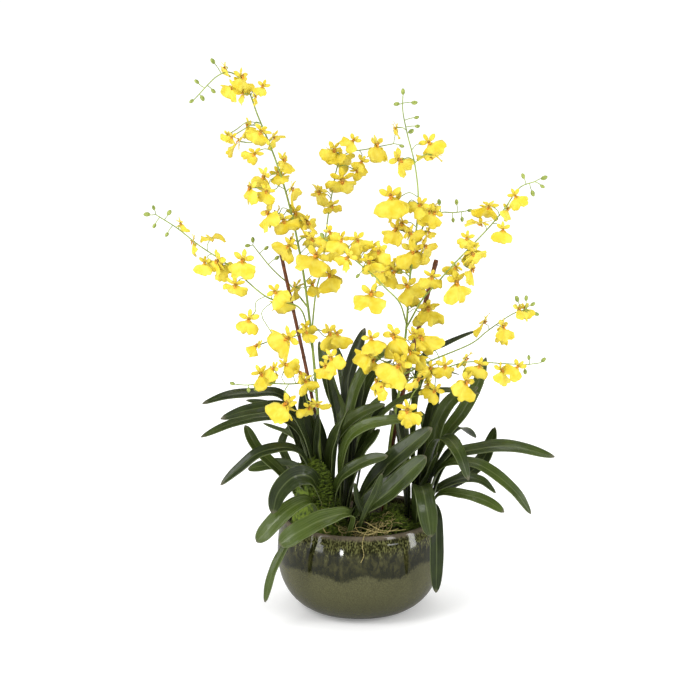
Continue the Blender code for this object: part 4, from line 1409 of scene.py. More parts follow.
@dataclass(frozen=True)
class Spray:
    """One branch of a flower spike: its stem, pedicels, blossoms and buds.

    Attributes:
        name: the branch's node.
        parent: the branch that it grows from, if it is a side branch.
        leaves_at: the height at which it leaves that one.
        route: places that its stem passes through.
        blossoms: x, y, z, width of the lip, and yaw, tilt and roll in degrees.
        buds: the buds' centres.
        base_radius: radius of a main stem at its foot.
        branch_radius: radius of a side branch at its foot.
        tip_radius: radius at the tip of either.
        pedicel_radius: radius of a pedicel.
        swell: how much wider than its row's width a blossom is built.
        company: the chance that a blossom has a smaller one beside it.
        loose: distance from the middle beyond which that is rarer.
        yaw_play: degrees of chance turn to the left or right.
        tilt_play: degrees of chance tilt, from its least to its most.
        roll_play: degrees of chance roll to either side.
        bud_radius: radius of a bud.
        bud_reach: half a bud's length.
    """

    name: str
    parent: str | None
    leaves_at: float
    route: tuple[Point, ...]
    blossoms: tuple[tuple[float, ...], ...]
    buds: tuple[Point, ...]
    base_radius: float = 0.0026
    branch_radius: float = 0.0013
    tip_radius: float = 0.0007
    pedicel_radius: float = 0.00056
    swell: float = 1.08
    company: float = 0.62
    loose: float = 0.11
    yaw_play: float = 50
    tilt_play: tuple[float, float] = (-42, 40)
    roll_play: float = 44
    bud_radius: float = 0.0026
    bud_reach: float = 0.0040

    def stem(self, stems: dict[str, list[Vector]]) -> tuple[list[Vector], list[float]]:
        """The stem's run and radii; a branch starts on the skin of the stem it grows from.

        Args:
            stems: the runs that are already made.

        Returns:
            The run and its radii.
        """
        points = [Vector(point) for point in self.route]
        start = self.base_radius
        if self.parent:
            trunk = stems[self.parent]
            joint = min(trunk, key=lambda place: abs(place.z - self.leaves_at))
            away = ((points[0] - joint) * Vector((1, 1, 0))).normalized()
            points.insert(0, joint + away * 0.0012)
            start = self.branch_radius
        run = stations(smooth_route(points, 10), 26 * (len(points) - 1) // 2)
        shares = [index / (len(run) - 1) for index in range(len(run))]
        return run, [start + (self.tip_radius - start) * share ** 0.85 for share in shares]

    def pedicel(self, end: Vector, run: Sequence[Vector], back: Vector, rng: random.Random) -> list[Vector]:
        """A slim curved stalk from the stem to the back of a blossom or bud.

        Args:
            end: where the stalk ends.
            run: the stem's run.
            back: the direction in which the stalk reaches its end.
            rng: the source of its small differences.

        Returns:
            The stalk's run.
        """
        nearest = min(range(len(run)), key=lambda index: (run[index] - end).length)
        nearest = max(nearest - 1, 0)
        start = run[nearest]
        reach = (end - start).length
        leave = (run[min(nearest + 1, len(run) - 1)] - run[max(nearest - 1, 0)]).normalized()
        first = start.lerp(end, 0.33) + leave * reach * 0.16
        stray = Vector((rng.gauss(0, 1), rng.gauss(0, 1), 0)) * reach * 0.04
        second = start.lerp(end, 0.70) + back * reach * 0.20 + stray
        return smooth_route([start, first, second, end], 4)

    def crowded(self, rng: random.Random) -> list[tuple[float, ...]]:
        """The spray's blossoms, some of them with a smaller one beside it.

        Args:
            rng: the source of chance.

        Returns:
            Rows as in blossoms.
        """
        rows = list(self.blossoms)
        for x, y, z, width, yaw, tilt, roll in self.blossoms:
            if rng.random() < self.company * (1.0 if abs(x + 0.01) < self.loose else 0.25):
                side, up = rng.uniform(-0.011, 0.011), rng.uniform(-0.014, 0.010)
                smaller = width * rng.uniform(0.72, 0.98)
                turned = yaw + rng.uniform(-40, 40)
                rows.append((x + side, y + 0.008, z + up, smaller, turned, tilt, roll))
        return rows

    def build(self, templates: Sequence[bpy.types.Mesh], stems: dict[str, list[Vector]],
              finishes: Finishes) -> None:
        """Builds the spray as one piece.

        Args:
            templates: blossoms of unit size.
            stems: the runs that are already made, which this one joins.
            finishes: the plant's materials.
        """
        rng = random.Random(self.name)
        run, radii = self.stem(stems)
        stems[self.name] = run
        green = [(run, radii)]
        whole = bmesh.new()
        whole.loops.layers.uv.new("sheet")
        for index, (x, y, z, width, yaw, tilt, roll) in enumerate(self.crowded(rng)):
            yaw += rng.uniform(-self.yaw_play, self.yaw_play)
            tilt += rng.uniform(*self.tilt_play)
            roll += rng.uniform(-self.roll_play, self.roll_play)
            turn = (Matrix.Rotation(math.radians(yaw), 4, "Z") @ Matrix.Rotation(math.radians(tilt), 4, "X")
                    @ Matrix.Rotation(math.radians(roll), 4, "Y"))
            centre = Vector((x, y, z))
            blossom = templates[index % len(templates)].copy()
            blossom.transform(Matrix.Translation(centre) @ turn @ Matrix.Scale(width * self.swell, 4))
            whole.from_mesh(blossom)
            bpy.data.meshes.remove(blossom)
            back = turn.to_3x3() @ Vector((0, 1, 0))
            stalk = self.pedicel(centre + back * width * 0.02, run, back, rng)
            shares = [step / (len(stalk) - 1) for step in range(len(stalk))]
            green.append((stalk, [self.pedicel_radius * (1.0 + 0.7 * share ** 3) for share in shares]))
        for place in self.buds:
            self.add_bud(whole, Vector(place), run, green, rng)
        stalks = tubes(self.name + "_green", green, 2)
        stalks.polygons.foreach_set("material_index", [Tissue.STEM] * len(stalks.polygons))
        whole.from_mesh(stalks)
        bpy.data.meshes.remove(stalks)
        dress = [finishes.stem, finishes.bud, finishes.sepal, finishes.lip, finishes.callus]
        add_piece(self.name + "_spray", to_mesh(whole, self.name), dress, [self.name])

    def add_bud(self, whole: bmesh.types.BMesh, place: Vector, run: Sequence[Vector],
                green: list[tuple[list[Vector], list[float]]], rng: random.Random) -> None:
        """Adds a ridged egg-shaped bud on its stalk.

        Args:
            whole: the spray's bmesh.
            place: the bud's centre.
            run: the stem's run.
            green: the stalks made so far, which this bud's joins.
            rng: the source of its small differences.
        """
        nearest = min(run, key=lambda point: (point - place).length)
        aside = place - nearest
        away = (aside if aside.length > 0.001 else run[-1] - run[-3]).normalized()
        turn = Vector((0, 0, 1)).rotation_difference(away).to_matrix().to_4x4()
        size = rng.uniform(0.85, 1.15)
        girth, reach = self.bud_radius * size, self.bud_reach * size
        shape = Matrix.Translation(place) @ turn @ Matrix.Diagonal((girth, girth, reach, 1.0))
        made = bmesh.ops.create_uvsphere(whole, u_segments=12, v_segments=8, radius=1.0)
        for vert in made["verts"]:
            angle = math.atan2(vert.co.y, vert.co.x)
            ridge = 1.0 + 0.07 * math.cos(3 * angle) - 0.10 * max(vert.co.z, 0.0)
            vert.co = shape @ Vector((vert.co.x * ridge, vert.co.y * ridge, vert.co.z))
        for face in {face for vert in made["verts"] for face in vert.link_faces}:
            face.material_index = Tissue.BUD
            face.smooth = True
        stalk = smooth_route([nearest, nearest.lerp(place, 0.5) + away.orthogonal() * 0.0006, place], 4)
        green.append((stalk, [self.pedicel_radius] * len(stalk)))


# --- the plant's plan -----------------------------------------------------------------------------
CANES = (
    Cane("stake_left", 0.0025, (
        (-0.046, 0.020, 0.118), (-0.056, 0.018, 0.236), (-0.070, 0.016, 0.318), (-0.090, 0.014, 0.414),
        (-0.104, 0.012, 0.482))),
    Cane("stake_right", 0.0032, (
        (0.032, 0.024, 0.118), (0.050, 0.022, 0.250), (0.096, 0.018, 0.450), (0.101, 0.017, 0.471))),
)

LEAVES = (
    Leaf("leaf_left_01", CROWN_LEFT, 0.018, 0.018, -26, (
        (-0.101, -0.002, 0.290), (-0.143, -0.014, 0.298), (-0.176, -0.025, 0.297), (-0.207, -0.030, 0.288))),
    Leaf("leaf_left_02", CROWN_LEFT, 0.012, 0.017, -36, (
        (-0.092, -0.062, 0.288), (-0.141, -0.076, 0.291), (-0.179, -0.084, 0.281))),
    Leaf("leaf_left_03", CROWN_LEFT, 0.025, 0.017, -6, (
        (-0.095, 0.026, 0.250), (-0.114, 0.034, 0.268), (-0.154, 0.048, 0.274))),
    Leaf("leaf_left_04", CROWN_LEFT, 0.026, 0.018, -25, (
        (-0.079, -0.033, 0.248), (-0.111, -0.040, 0.272), (-0.165, -0.048, 0.266), (-0.207, -0.058, 0.250))),
    Leaf("leaf_left_05", CROWN_LEFT, 0.030, 0.016, -34, (
        (-0.101, 0.000, 0.179), (-0.138, 0.014, 0.215), (-0.155, 0.022, 0.245))),
    Leaf("leaf_left_06", CROWN_LEFT, 0.020, 0.018, -28, (
        (-0.082, -0.074, 0.236), (-0.127, -0.088, 0.238), (-0.156, -0.096, 0.218), (-0.179, -0.102, 0.198))),
    Leaf("leaf_left_07", CROWN_LEFT, 0.036, 0.016, 0, (
        (-0.070, 0.040, 0.200), (-0.084, 0.046, 0.220), (-0.132, 0.070, 0.236))),
    Leaf("leaf_left_08", CROWN_LEFT, 0.010, 0.021, -36, (
        (-0.064, -0.014, 0.211), (-0.074, -0.010, 0.250), (-0.075, -0.006, 0.306))),
    Leaf("leaf_left_09", CROWN_LEFT, 0.046, 0.019, -42, (
        (-0.081, 0.040, 0.174), (-0.112, 0.058, 0.180), (-0.155, 0.080, 0.168))),
    Leaf("leaf_left_10", CROWN_LEFT, 0.054, 0.014, 20, (
        (-0.090, 0.060, 0.165), (-0.108, 0.085, 0.202), (-0.095, 0.098, 0.228))),
    Leaf("leaf_left_11", CROWN_LEFT, 0.034, 0.026, -65, (
        (-0.062, -0.079, 0.200), (-0.084, -0.095, 0.207), (-0.105, -0.104, 0.188), (-0.112, -0.110, 0.162))),
    Leaf("leaf_left_12", CROWN_LEFT, 0.044, 0.024, -28, (
        (-0.066, -0.084, 0.171), (-0.091, -0.100, 0.165), (-0.114, -0.110, 0.146), (-0.133, -0.114, 0.125))),
    Leaf("leaf_left_13", CROWN_LEFT, 0.060, 0.027, -32, (
        (-0.013, -0.097, 0.157), (-0.045, -0.113, 0.156), (-0.077, -0.124, 0.143), (-0.103, -0.131, 0.127))),
    Leaf("leaf_left_14", CROWN_LEFT, 0.047, 0.013, -16, (
        (-0.064, -0.080, 0.146), (-0.089, -0.103, 0.126), (-0.112, -0.106, 0.085), (-0.124, -0.104, 0.040))),
    Leaf("leaf_left_15", CROWN_LEFT, 0.012, 0.020, 0, (
        (-0.024, 0.004, 0.258), (-0.038, 0.014, 0.295), (-0.054, 0.030, 0.359))),
    Leaf("leaf_left_16", CROWN_LEFT, 0.034, 0.016, 20, (
        (-0.017, 0.050, 0.269), (-0.025, 0.060, 0.320), (-0.032, 0.066, 0.346))),
    Leaf("leaf_left_17", CROWN_LEFT, 0.022, 0.019, 4, (
        (-0.016, 0.022, 0.266), (-0.015, 0.031, 0.308), (-0.005, 0.037, 0.341), (0.007, 0.042, 0.375))),
    Leaf("leaf_left_18", CROWN_LEFT, 0.010, 0.018, 42, (
        (-0.013, -0.012, 0.270), (-0.001, -0.012, 0.316), (0.020, -0.014, 0.347), (0.047, -0.018, 0.362))),
    Leaf("leaf_left_19", CROWN_LEFT, 0.028, 0.017, 8, (
        (-0.001, 0.040, 0.262), (0.018, 0.056, 0.306), (0.044, 0.064, 0.326))),
    Leaf("leaf_left_20", CROWN_LEFT, 0.042, 0.016, -6, (
        (0.002, 0.062, 0.226), (0.020, 0.084, 0.258), (0.039, 0.102, 0.273))),
    Leaf("leaf_left_21", CROWN_LEFT, 0.004, 0.020, 50, (
        (-0.038, -0.030, 0.226), (-0.021, -0.031, 0.259), (0.007, -0.033, 0.279), (0.033, -0.037, 0.289))),
    Leaf("leaf_left_22", CROWN_LEFT, 0.014, 0.018, 50, (
        (-0.018, -0.048, 0.239), (0.004, -0.054, 0.263), (0.034, -0.058, 0.272), (0.065, -0.062, 0.275))),
    Leaf("leaf_left_23", CROWN_LEFT, 0.024, 0.018, 55, (
        (-0.028, -0.062, 0.190), (-0.010, -0.073, 0.212), (0.014, -0.080, 0.226), (0.036, -0.084, 0.232))),
    Leaf("leaf_left_24", CROWN_LEFT, 0.026, 0.027, 70, (
        (0.008, -0.050, 0.176), (0.029, -0.062, 0.206), (0.055, -0.079, 0.236), (0.092, -0.092, 0.271))),
    Leaf("leaf_left_25", CROWN_LEFT, 0.042, 0.027, 72, (
        (0.010, -0.076, 0.156), (0.040, -0.096, 0.190), (0.066, -0.108, 0.220), (0.084, -0.114, 0.239))),
    Leaf("leaf_left_26", CROWN_LEFT, 0.062, 0.012, -14, (
        (0.008, -0.100, 0.160), (0.020, -0.115, 0.190), (0.028, -0.122, 0.219))),
    Leaf("leaf_left_27", CROWN_LEFT, 0.020, 0.011, 30, (
        (0.020, -0.036, 0.262), (0.060, -0.046, 0.300), (0.110, -0.050, 0.311), (0.156, -0.055, 0.308))),
    Leaf("leaf_right_01", CROWN_RIGHT, 0.007, 0.020, 30, (
        (0.113, 0.018, 0.227), (0.139, 0.028, 0.261), (0.160, 0.035, 0.299), (0.171, 0.040, 0.335))),
    Leaf("leaf_right_02", CROWN_RIGHT, 0.014, 0.021, 60, (
        (0.100, -0.008, 0.238), (0.107, -0.008, 0.263), (0.124, -0.010, 0.290), (0.156, -0.014, 0.306))),
    Leaf("leaf_right_03", CROWN_RIGHT, 0.020, 0.014, 36, (
        (0.091, 0.034, 0.200), (0.090, 0.048, 0.235), (0.084, 0.058, 0.256))),
    Leaf("leaf_right_04", CROWN_RIGHT, 0.026, 0.013, 6, (
        (0.076, 0.038, 0.285), (0.088, 0.052, 0.334), (0.118, 0.060, 0.350), (0.158, 0.068, 0.366))),
    Leaf("leaf_right_05", CROWN_RIGHT, 0.008, 0.014, 4, (
        (0.076, 0.008, 0.292), (0.090, 0.020, 0.321), (0.108, 0.028, 0.320), (0.134, 0.034, 0.313))),
    Leaf("leaf_right_06", CROWN_RIGHT, 0.018, 0.021, 36, (
        (0.120, -0.026, 0.212), (0.162, -0.034, 0.228), (0.198, -0.038, 0.232), (0.256, -0.046, 0.220))),
    Leaf("leaf_right_07", CROWN_RIGHT, 0.016, 0.018, 28, (
        (0.110, -0.050, 0.208), (0.146, -0.068, 0.218), (0.171, -0.076, 0.208), (0.201, -0.084, 0.184),
        (0.222, -0.088, 0.155))),
    Leaf("leaf_right_08", CROWN_RIGHT, 0.008, 0.021, 10, (
        (0.098, -0.042, 0.236), (0.113, -0.068, 0.251), (0.127, -0.092, 0.238), (0.139, -0.108, 0.206))),
    Leaf("leaf_right_09", CROWN_RIGHT, 0.018, 0.022, 28, (
        (0.097, 0.010, 0.151), (0.128, 0.026, 0.160), (0.168, 0.046, 0.188), (0.180, 0.052, 0.212),
        (0.186, 0.055, 0.234))),
    Leaf("leaf_right_10", CROWN_RIGHT, 0.019, 0.018, 26, (
        (0.095, -0.005, 0.152), (0.116, -0.002, 0.169), (0.146, 0.002, 0.177), (0.166, 0.003, 0.172),
        (0.184, 0.003, 0.156))),
    Leaf("leaf_right_11", CROWN_RIGHT, 0.020, 0.016, 30, (
        (0.106, -0.050, 0.170), (0.137, -0.072, 0.176), (0.166, -0.084, 0.170), (0.187, -0.090, 0.158))),
    Leaf("leaf_right_12", CROWN_RIGHT, 0.026, 0.025, 0, (
        (0.078, -0.070, 0.186), (0.081, -0.096, 0.190), (0.085, -0.114, 0.172), (0.091, -0.121, 0.134))),
    Leaf("leaf_right_13", CROWN_RIGHT, 0.026, 0.018, 0, (
        (0.093, -0.062, 0.158), (0.098, -0.090, 0.155), (0.099, -0.106, 0.115), (0.099, -0.107, 0.054))),
    Leaf("leaf_back_01", CROWN_LEFT, 0.062, 0.018, 0, (
        (-0.070, 0.090, 0.210), (-0.085, 0.135, 0.225), (-0.095, 0.165, 0.200))),
    Leaf("leaf_back_02", CROWN_RIGHT, 0.045, 0.020, 0, (
        (0.060, 0.090, 0.215), (0.055, 0.140, 0.235), (0.048, 0.180, 0.205))),
    Leaf("leaf_back_03", CROWN_RIGHT, 0.027, 0.018, 0, (
        (0.108, 0.060, 0.200), (0.140, 0.100, 0.222), (0.165, 0.128, 0.200))),
)

# Young leaves inside the two clumps, which stand behind and between the numbered ones.
INNER_LEAVES = (
    Leaf("inner_01", CROWN_LEFT, 0.010, 0.020, -10, (
        (-0.050, -0.030, 0.170), (-0.060, -0.034, 0.225), (-0.054, -0.036, 0.275))),
    Leaf("inner_02", CROWN_LEFT, 0.012, 0.021, 20, (
        (-0.034, -0.036, 0.180), (-0.030, -0.042, 0.235), (-0.016, -0.046, 0.285))),
    Leaf("inner_03", CROWN_LEFT, 0.016, 0.021, 0, (
        (-0.022, -0.004, 0.180), (-0.028, 0.000, 0.250), (-0.044, 0.004, 0.325))),
    Leaf("inner_04", CROWN_LEFT, 0.018, 0.019, -30, (
        (-0.044, 0.004, 0.180), (-0.056, 0.010, 0.240), (-0.076, 0.016, 0.290))),
    Leaf("inner_05", CROWN_LEFT, 0.014, 0.020, 30, (
        (-0.006, -0.020, 0.190), (0.010, -0.020, 0.240), (0.032, -0.022, 0.285))),
    Leaf("inner_06", CROWN_LEFT, 0.020, 0.022, 40, (
        (0.000, -0.040, 0.160), (0.018, -0.052, 0.190), (0.040, -0.060, 0.225))),
    Leaf("inner_07", CROWN_LEFT, 0.022, 0.019, -20, (
        (-0.064, -0.044, 0.160), (-0.082, -0.056, 0.185), (-0.096, -0.064, 0.212))),
    Leaf("inner_08", CROWN_LEFT, 0.022, 0.019, 0, (
        (-0.012, 0.016, 0.190), (-0.006, 0.024, 0.260), (0.006, 0.030, 0.325))),
    Leaf("inner_09", CROWN_LEFT, 0.030, 0.020, 50, (
        (0.014, -0.030, 0.150), (0.040, -0.036, 0.185), (0.064, -0.040, 0.232))),
    Leaf("inner_10", CROWN_RIGHT, 0.012, 0.019, -20, (
        (0.064, -0.016, 0.180), (0.054, -0.020, 0.235), (0.046, -0.022, 0.275))),
    Leaf("inner_11", CROWN_RIGHT, 0.012, 0.021, 20, (
        (0.082, 0.006, 0.180), (0.092, 0.010, 0.240), (0.106, 0.014, 0.300))),
    Leaf("inner_12", CROWN_RIGHT, 0.016, 0.019, 30, (
        (0.090, -0.020, 0.170), (0.110, -0.028, 0.210), (0.132, -0.034, 0.240))),
    Leaf("inner_13", CROWN_RIGHT, 0.014, 0.018, 0, (
        (0.062, 0.004, 0.190), (0.052, 0.010, 0.250), (0.044, 0.014, 0.305))),
    Leaf("inner_14", CROWN_RIGHT, 0.020, 0.019, 20, (
        (0.080, -0.030, 0.160), (0.092, -0.044, 0.195), (0.102, -0.054, 0.228))),
    Leaf("inner_16", CROWN_LEFT, 0.030, 0.026, 65, (
        (0.000, -0.062, 0.150), (0.026, -0.074, 0.180), (0.056, -0.082, 0.214))),
    Leaf("inner_17", CROWN_LEFT, 0.036, 0.024, 60, (
        (0.004, -0.048, 0.160), (0.034, -0.052, 0.200), (0.066, -0.058, 0.240))),
    Leaf("inner_18", CROWN_LEFT, 0.018, 0.022, 40, (
        (-0.010, -0.036, 0.180), (0.004, -0.044, 0.225), (0.026, -0.050, 0.258))),
    Leaf("inner_15", CROWN_LEFT, 0.050, 0.008, 20, (
        (0.004, -0.086, 0.150), (-0.003, -0.092, 0.176), (-0.007, -0.092, 0.198))),
)

# The flower spikes; a side branch comes after the one that it grows from.
SPRAYS = (
    Spray(
        "flower_spike_left", None, 0.000,
        route=(
            (-0.036, 0.002, 0.118), (-0.050, 0.000, 0.175), (-0.057, 0.000, 0.292), (-0.067, 0.000, 0.403),
            (-0.078, 0.003, 0.480), (-0.094, 0.008, 0.553), (-0.110, 0.010, 0.605), (-0.132, 0.010, 0.661),
            (-0.148, 0.010, 0.701), (-0.167, 0.010, 0.716), (-0.182, 0.010, 0.712), (-0.213, 0.010, 0.682)),
        blossoms=(
            (-0.173, 0.005, 0.723, 0.018, -20, 10, 20), (-0.152, 0.000, 0.711, 0.026, 10, 0, -10),
            (-0.163, 0.013, 0.697, 0.024, -35, 20, 30), (-0.125, 0.008, 0.698, 0.022, 35, 10, -20),
            (-0.149, -0.004, 0.690, 0.018, -60, 0, 10), (-0.135, 0.004, 0.686, 0.018, 50, 10, -10),
            (-0.127, -0.006, 0.642, 0.030, -10, 0, 15), (-0.136, 0.000, 0.613, 0.026, -25, 20, 0),
            (-0.155, 0.004, 0.628, 0.028, -75, 0, 0), (-0.165, 0.006, 0.634, 0.020, -40, 10, 20),
            (-0.145, 0.016, 0.648, 0.022, -15, -10, 10), (-0.112, 0.012, 0.633, 0.022, 30, 10, -20),
            (-0.099, 0.004, 0.604, 0.026, 70, 0, 0), (-0.124, 0.004, 0.583, 0.028, -5, 0, -10),
            (-0.141, -0.004, 0.569, 0.032, -20, 0, 20), (-0.120, -0.012, 0.566, 0.024, 10, 20, 0),
            (-0.107, 0.012, 0.586, 0.024, 25, 10, -10), (-0.089, 0.004, 0.567, 0.026, 65, 0, 0),
            (-0.119, -0.002, 0.536, 0.030, -45, 10, 0), (-0.099, -0.010, 0.528, 0.030, 0, 0, 10),
            (-0.084, 0.012, 0.535, 0.028, 15, 0, -10), (-0.069, 0.000, 0.521, 0.028, 30, 10, -20),
            (-0.092, -0.002, 0.493, 0.028, -20, 0, 10), (-0.062, -0.004, 0.503, 0.028, 20, 0, -10),
            (-0.057, -0.014, 0.481, 0.038, 5, 0, 0), (-0.037, 0.000, 0.486, 0.022, 40, 10, -20),
            (-0.039, -0.002, 0.454, 0.028, 20, 0, -10), (-0.063, 0.008, 0.440, 0.022, 10, 10, 0),
            (-0.084, 0.000, 0.438, 0.026, -70, 0, 0)),
        buds=(
            (-0.189, 0.010, 0.730), (-0.210, 0.010, 0.704), (-0.189, 0.012, 0.692), (-0.217, 0.010, 0.679),
            (-0.203, 0.008, 0.683))),
    Spray(
        "flower_branch_left_low", "flower_spike_left", 0.352,
        route=(
            (-0.068, -0.022, 0.385), (-0.079, -0.034, 0.417), (-0.119, -0.040, 0.431),
            (-0.167, -0.040, 0.472), (-0.207, -0.038, 0.499), (-0.235, -0.036, 0.521),
            (-0.262, -0.034, 0.538)),
        blossoms=(
            (-0.229, -0.040, 0.528, 0.018, -20, 10, 10), (-0.214, -0.034, 0.503, 0.024, -30, 0, 20),
            (-0.189, -0.040, 0.508, 0.026, 0, 75, 0), (-0.182, -0.044, 0.480, 0.032, -70, 0, 0),
            (-0.200, -0.036, 0.476, 0.020, -40, 10, 10), (-0.160, -0.044, 0.449, 0.030, -65, 0, 10),
            (-0.150, -0.046, 0.481, 0.032, 15, 10, -20), (-0.143, -0.046, 0.404, 0.030, -45, 0, 20),
            (-0.109, -0.050, 0.441, 0.026, 10, 0, 0), (-0.104, -0.040, 0.425, 0.028, -10, 10, 10),
            (-0.133, -0.042, 0.368, 0.022, -30, 0, 10), (-0.092, -0.056, 0.381, 0.036, -5, 0, 5),
            (-0.070, -0.050, 0.387, 0.024, 25, 0, -10), (-0.040, -0.046, 0.386, 0.028, 60, 0, -20)),
        buds=(
            (-0.264, -0.036, 0.547), (-0.273, -0.034, 0.538), (-0.244, -0.038, 0.541),
            (-0.264, -0.032, 0.523), (-0.248, -0.034, 0.512))),
    Spray(
        "flower_branch_left_buds", "flower_spike_left", 0.412,
        route=(
            (-0.094, 0.034, 0.436), (-0.106, 0.036, 0.446), (-0.120, 0.037, 0.460), (-0.132, 0.038, 0.475),
            (-0.142, 0.038, 0.488)),
        blossoms=(),
        buds=(
            (-0.149, 0.038, 0.487), (-0.142, 0.038, 0.495), (-0.124, 0.038, 0.484), (-0.110, 0.037, 0.471))),
    Spray(
        "flower_branch_left_lowest", "flower_spike_left", 0.306,
        route=(
            (-0.062, -0.055, 0.322), (-0.090, -0.072, 0.324), (-0.123, -0.074, 0.325),
            (-0.146, -0.074, 0.323), (-0.160, -0.074, 0.324)),
        blossoms=(
            (-0.127, -0.080, 0.340, 0.028, -20, 0, -15), (-0.110, -0.082, 0.347, 0.022, 0, 0, 10),
            (-0.096, -0.078, 0.351, 0.022, 10, 10, 0), (-0.078, -0.082, 0.342, 0.024, 20, 0, -10),
            (-0.093, -0.090, 0.302, 0.034, 0, 0, 10), (-0.055, -0.082, 0.300, 0.026, 25, 20, -25),
            (-0.037, -0.078, 0.360, 0.028, 15, 0, -10)),
        buds=(
            (-0.164, -0.074, 0.325), (-0.143, -0.076, 0.317), (-0.134, -0.070, 0.317))),
    Spray(
        "flower_branch_left_inner", "flower_spike_left", 0.372,
        route=(
            (-0.058, 0.052, 0.425), (-0.050, 0.060, 0.457), (-0.043, 0.062, 0.517), (-0.038, 0.062, 0.547),
            (-0.022, 0.062, 0.604), (0.011, 0.062, 0.613), (0.045, 0.062, 0.620)),
        blossoms=(
            (-0.008, 0.054, 0.625, 0.022, 0, 0, 20), (-0.034, 0.056, 0.613, 0.026, -20, 0, 10),
            (-0.027, 0.064, 0.600, 0.026, 10, 0, -10), (0.003, 0.056, 0.597, 0.022, 20, 10, 0),
            (0.022, 0.054, 0.620, 0.028, 10, 0, -20), (-0.023, 0.050, 0.574, 0.038, 5, 0, 0),
            (-0.053, 0.052, 0.558, 0.030, -20, 0, 10), (-0.037, 0.054, 0.539, 0.026, -5, 10, 0)),
        buds=(
            (0.047, 0.062, 0.638), (0.056, 0.062, 0.617), (-0.040, 0.070, 0.528))),
    Spray(
        "flower_spike_right", None, 0.000,
        route=(
            (0.034, 0.002, 0.118), (0.041, 0.000, 0.229), (0.053, 0.000, 0.300), (0.062, 0.000, 0.390),
            (0.065, 0.000, 0.443), (0.073, 0.000, 0.507), (0.076, 0.000, 0.554), (0.071, 0.000, 0.599),
            (0.061, 0.000, 0.638), (0.055, 0.000, 0.668), (0.055, 0.000, 0.686)),
        blossoms=(
            (0.047, 0.000, 0.646, 0.020, -30, 0, 10), (0.089, 0.004, 0.627, 0.028, 15, 0, -10),
            (0.093, 0.000, 0.610, 0.028, 10, 70, 0), (0.050, -0.004, 0.605, 0.034, -5, 0, 0),
            (0.040, -0.006, 0.558, 0.036, -15, 0, 10), (0.079, -0.008, 0.547, 0.026, 10, 0, 0),
            (0.097, 0.000, 0.536, 0.026, 25, 0, -10), (0.056, 0.000, 0.523, 0.028, -20, 0, 10),
            (0.064, -0.010, 0.511, 0.026, 0, 10, 0), (0.088, 0.002, 0.511, 0.020, 35, 0, -10),
            (0.068, -0.006, 0.488, 0.034, -10, 0, 0), (0.084, 0.004, 0.492, 0.028, 20, 0, -10),
            (0.055, 0.000, 0.472, 0.028, -15, 0, 10), (0.045, 0.004, 0.458, 0.026, -30, 10, 20),
            (0.031, -0.002, 0.459, 0.024, -40, 0, 20), (0.062, -0.008, 0.440, 0.034, -5, 0, 0),
            (0.080, -0.008, 0.436, 0.024, 20, 10, -10), (0.090, 0.000, 0.411, 0.034, 10, 0, 0)),
        buds=(
            (0.055, 0.000, 0.692), (0.047, 0.000, 0.676), (0.070, 0.000, 0.678), (0.073, 0.002, 0.659),
            (0.074, -0.002, 0.648), (0.066, 0.004, 0.641))),
    Spray(
        "flower_branch_right_buds", "flower_spike_right", 0.490,
        route=(
            (0.090, 0.034, 0.522), (0.108, 0.040, 0.531), (0.125, 0.040, 0.531), (0.141, 0.040, 0.533)),
        blossoms=(
            (0.098, 0.042, 0.530, 0.020, 10, 0, 0),),
        buds=(
            (0.105, 0.040, 0.545), (0.128, 0.040, 0.545), (0.124, 0.040, 0.521), (0.136, 0.040, 0.522),
            (0.146, 0.040, 0.534))),
    Spray(
        "flower_branch_right_high", "flower_spike_right", 0.385,
        route=(
            (0.082, -0.030, 0.428), (0.096, -0.040, 0.446), (0.116, -0.042, 0.470), (0.131, -0.042, 0.486),
            (0.147, -0.042, 0.503), (0.168, -0.042, 0.526), (0.184, -0.042, 0.546), (0.204, -0.042, 0.574),
            (0.222, -0.042, 0.581)),
        blossoms=(
            (0.197, -0.048, 0.564, 0.022, 10, 0, -10), (0.188, -0.038, 0.546, 0.020, 30, 10, 0),
            (0.164, -0.044, 0.550, 0.028, -10, 70, 0), (0.154, -0.046, 0.529, 0.030, -15, 65, 0),
            (0.182, -0.048, 0.521, 0.022, 20, 0, -20), (0.137, -0.044, 0.509, 0.022, -60, 0, 0),
            (0.143, -0.050, 0.491, 0.030, 5, 0, 0), (0.143, -0.046, 0.469, 0.030, 15, 10, 0),
            (0.124, -0.040, 0.471, 0.022, -15, 0, 0), (0.123, -0.050, 0.453, 0.034, 0, 20, 0),
            (0.092, -0.048, 0.460, 0.026, -10, 0, 0)),
        buds=(
            (0.207, -0.042, 0.588), (0.234, -0.042, 0.586), (0.232, -0.042, 0.575), (0.220, -0.042, 0.566))),
    Spray(
        "flower_branch_right_crossing", "flower_spike_right", 0.390,
        route=(
            (0.048, -0.062, 0.432), (0.031, -0.070, 0.450), (0.020, -0.070, 0.462), (0.006, -0.070, 0.474),
            (-0.018, -0.070, 0.494), (-0.031, -0.070, 0.503), (-0.045, -0.070, 0.511)),
        blossoms=(
            (-0.038, -0.070, 0.521, 0.022, -20, 0, 10), (-0.024, -0.074, 0.512, 0.026, 0, 0, 0),
            (-0.004, -0.070, 0.511, 0.026, 65, 0, 0), (-0.015, -0.074, 0.489, 0.028, -10, 0, 10),
            (0.011, -0.074, 0.484, 0.026, 10, 0, -10), (0.024, -0.070, 0.496, 0.028, 20, 10, -20),
            (0.014, -0.078, 0.442, 0.036, 0, 0, 0)),
        buds=(
            (-0.048, -0.070, 0.516), (-0.003, -0.070, 0.464))),
    Spray(
        "flower_branch_right_low", "flower_spike_right", 0.318,
        route=(
            (0.094, -0.014, 0.342), (0.149, -0.016, 0.367), (0.167, -0.016, 0.382), (0.200, -0.016, 0.405),
            (0.216, -0.016, 0.411)),
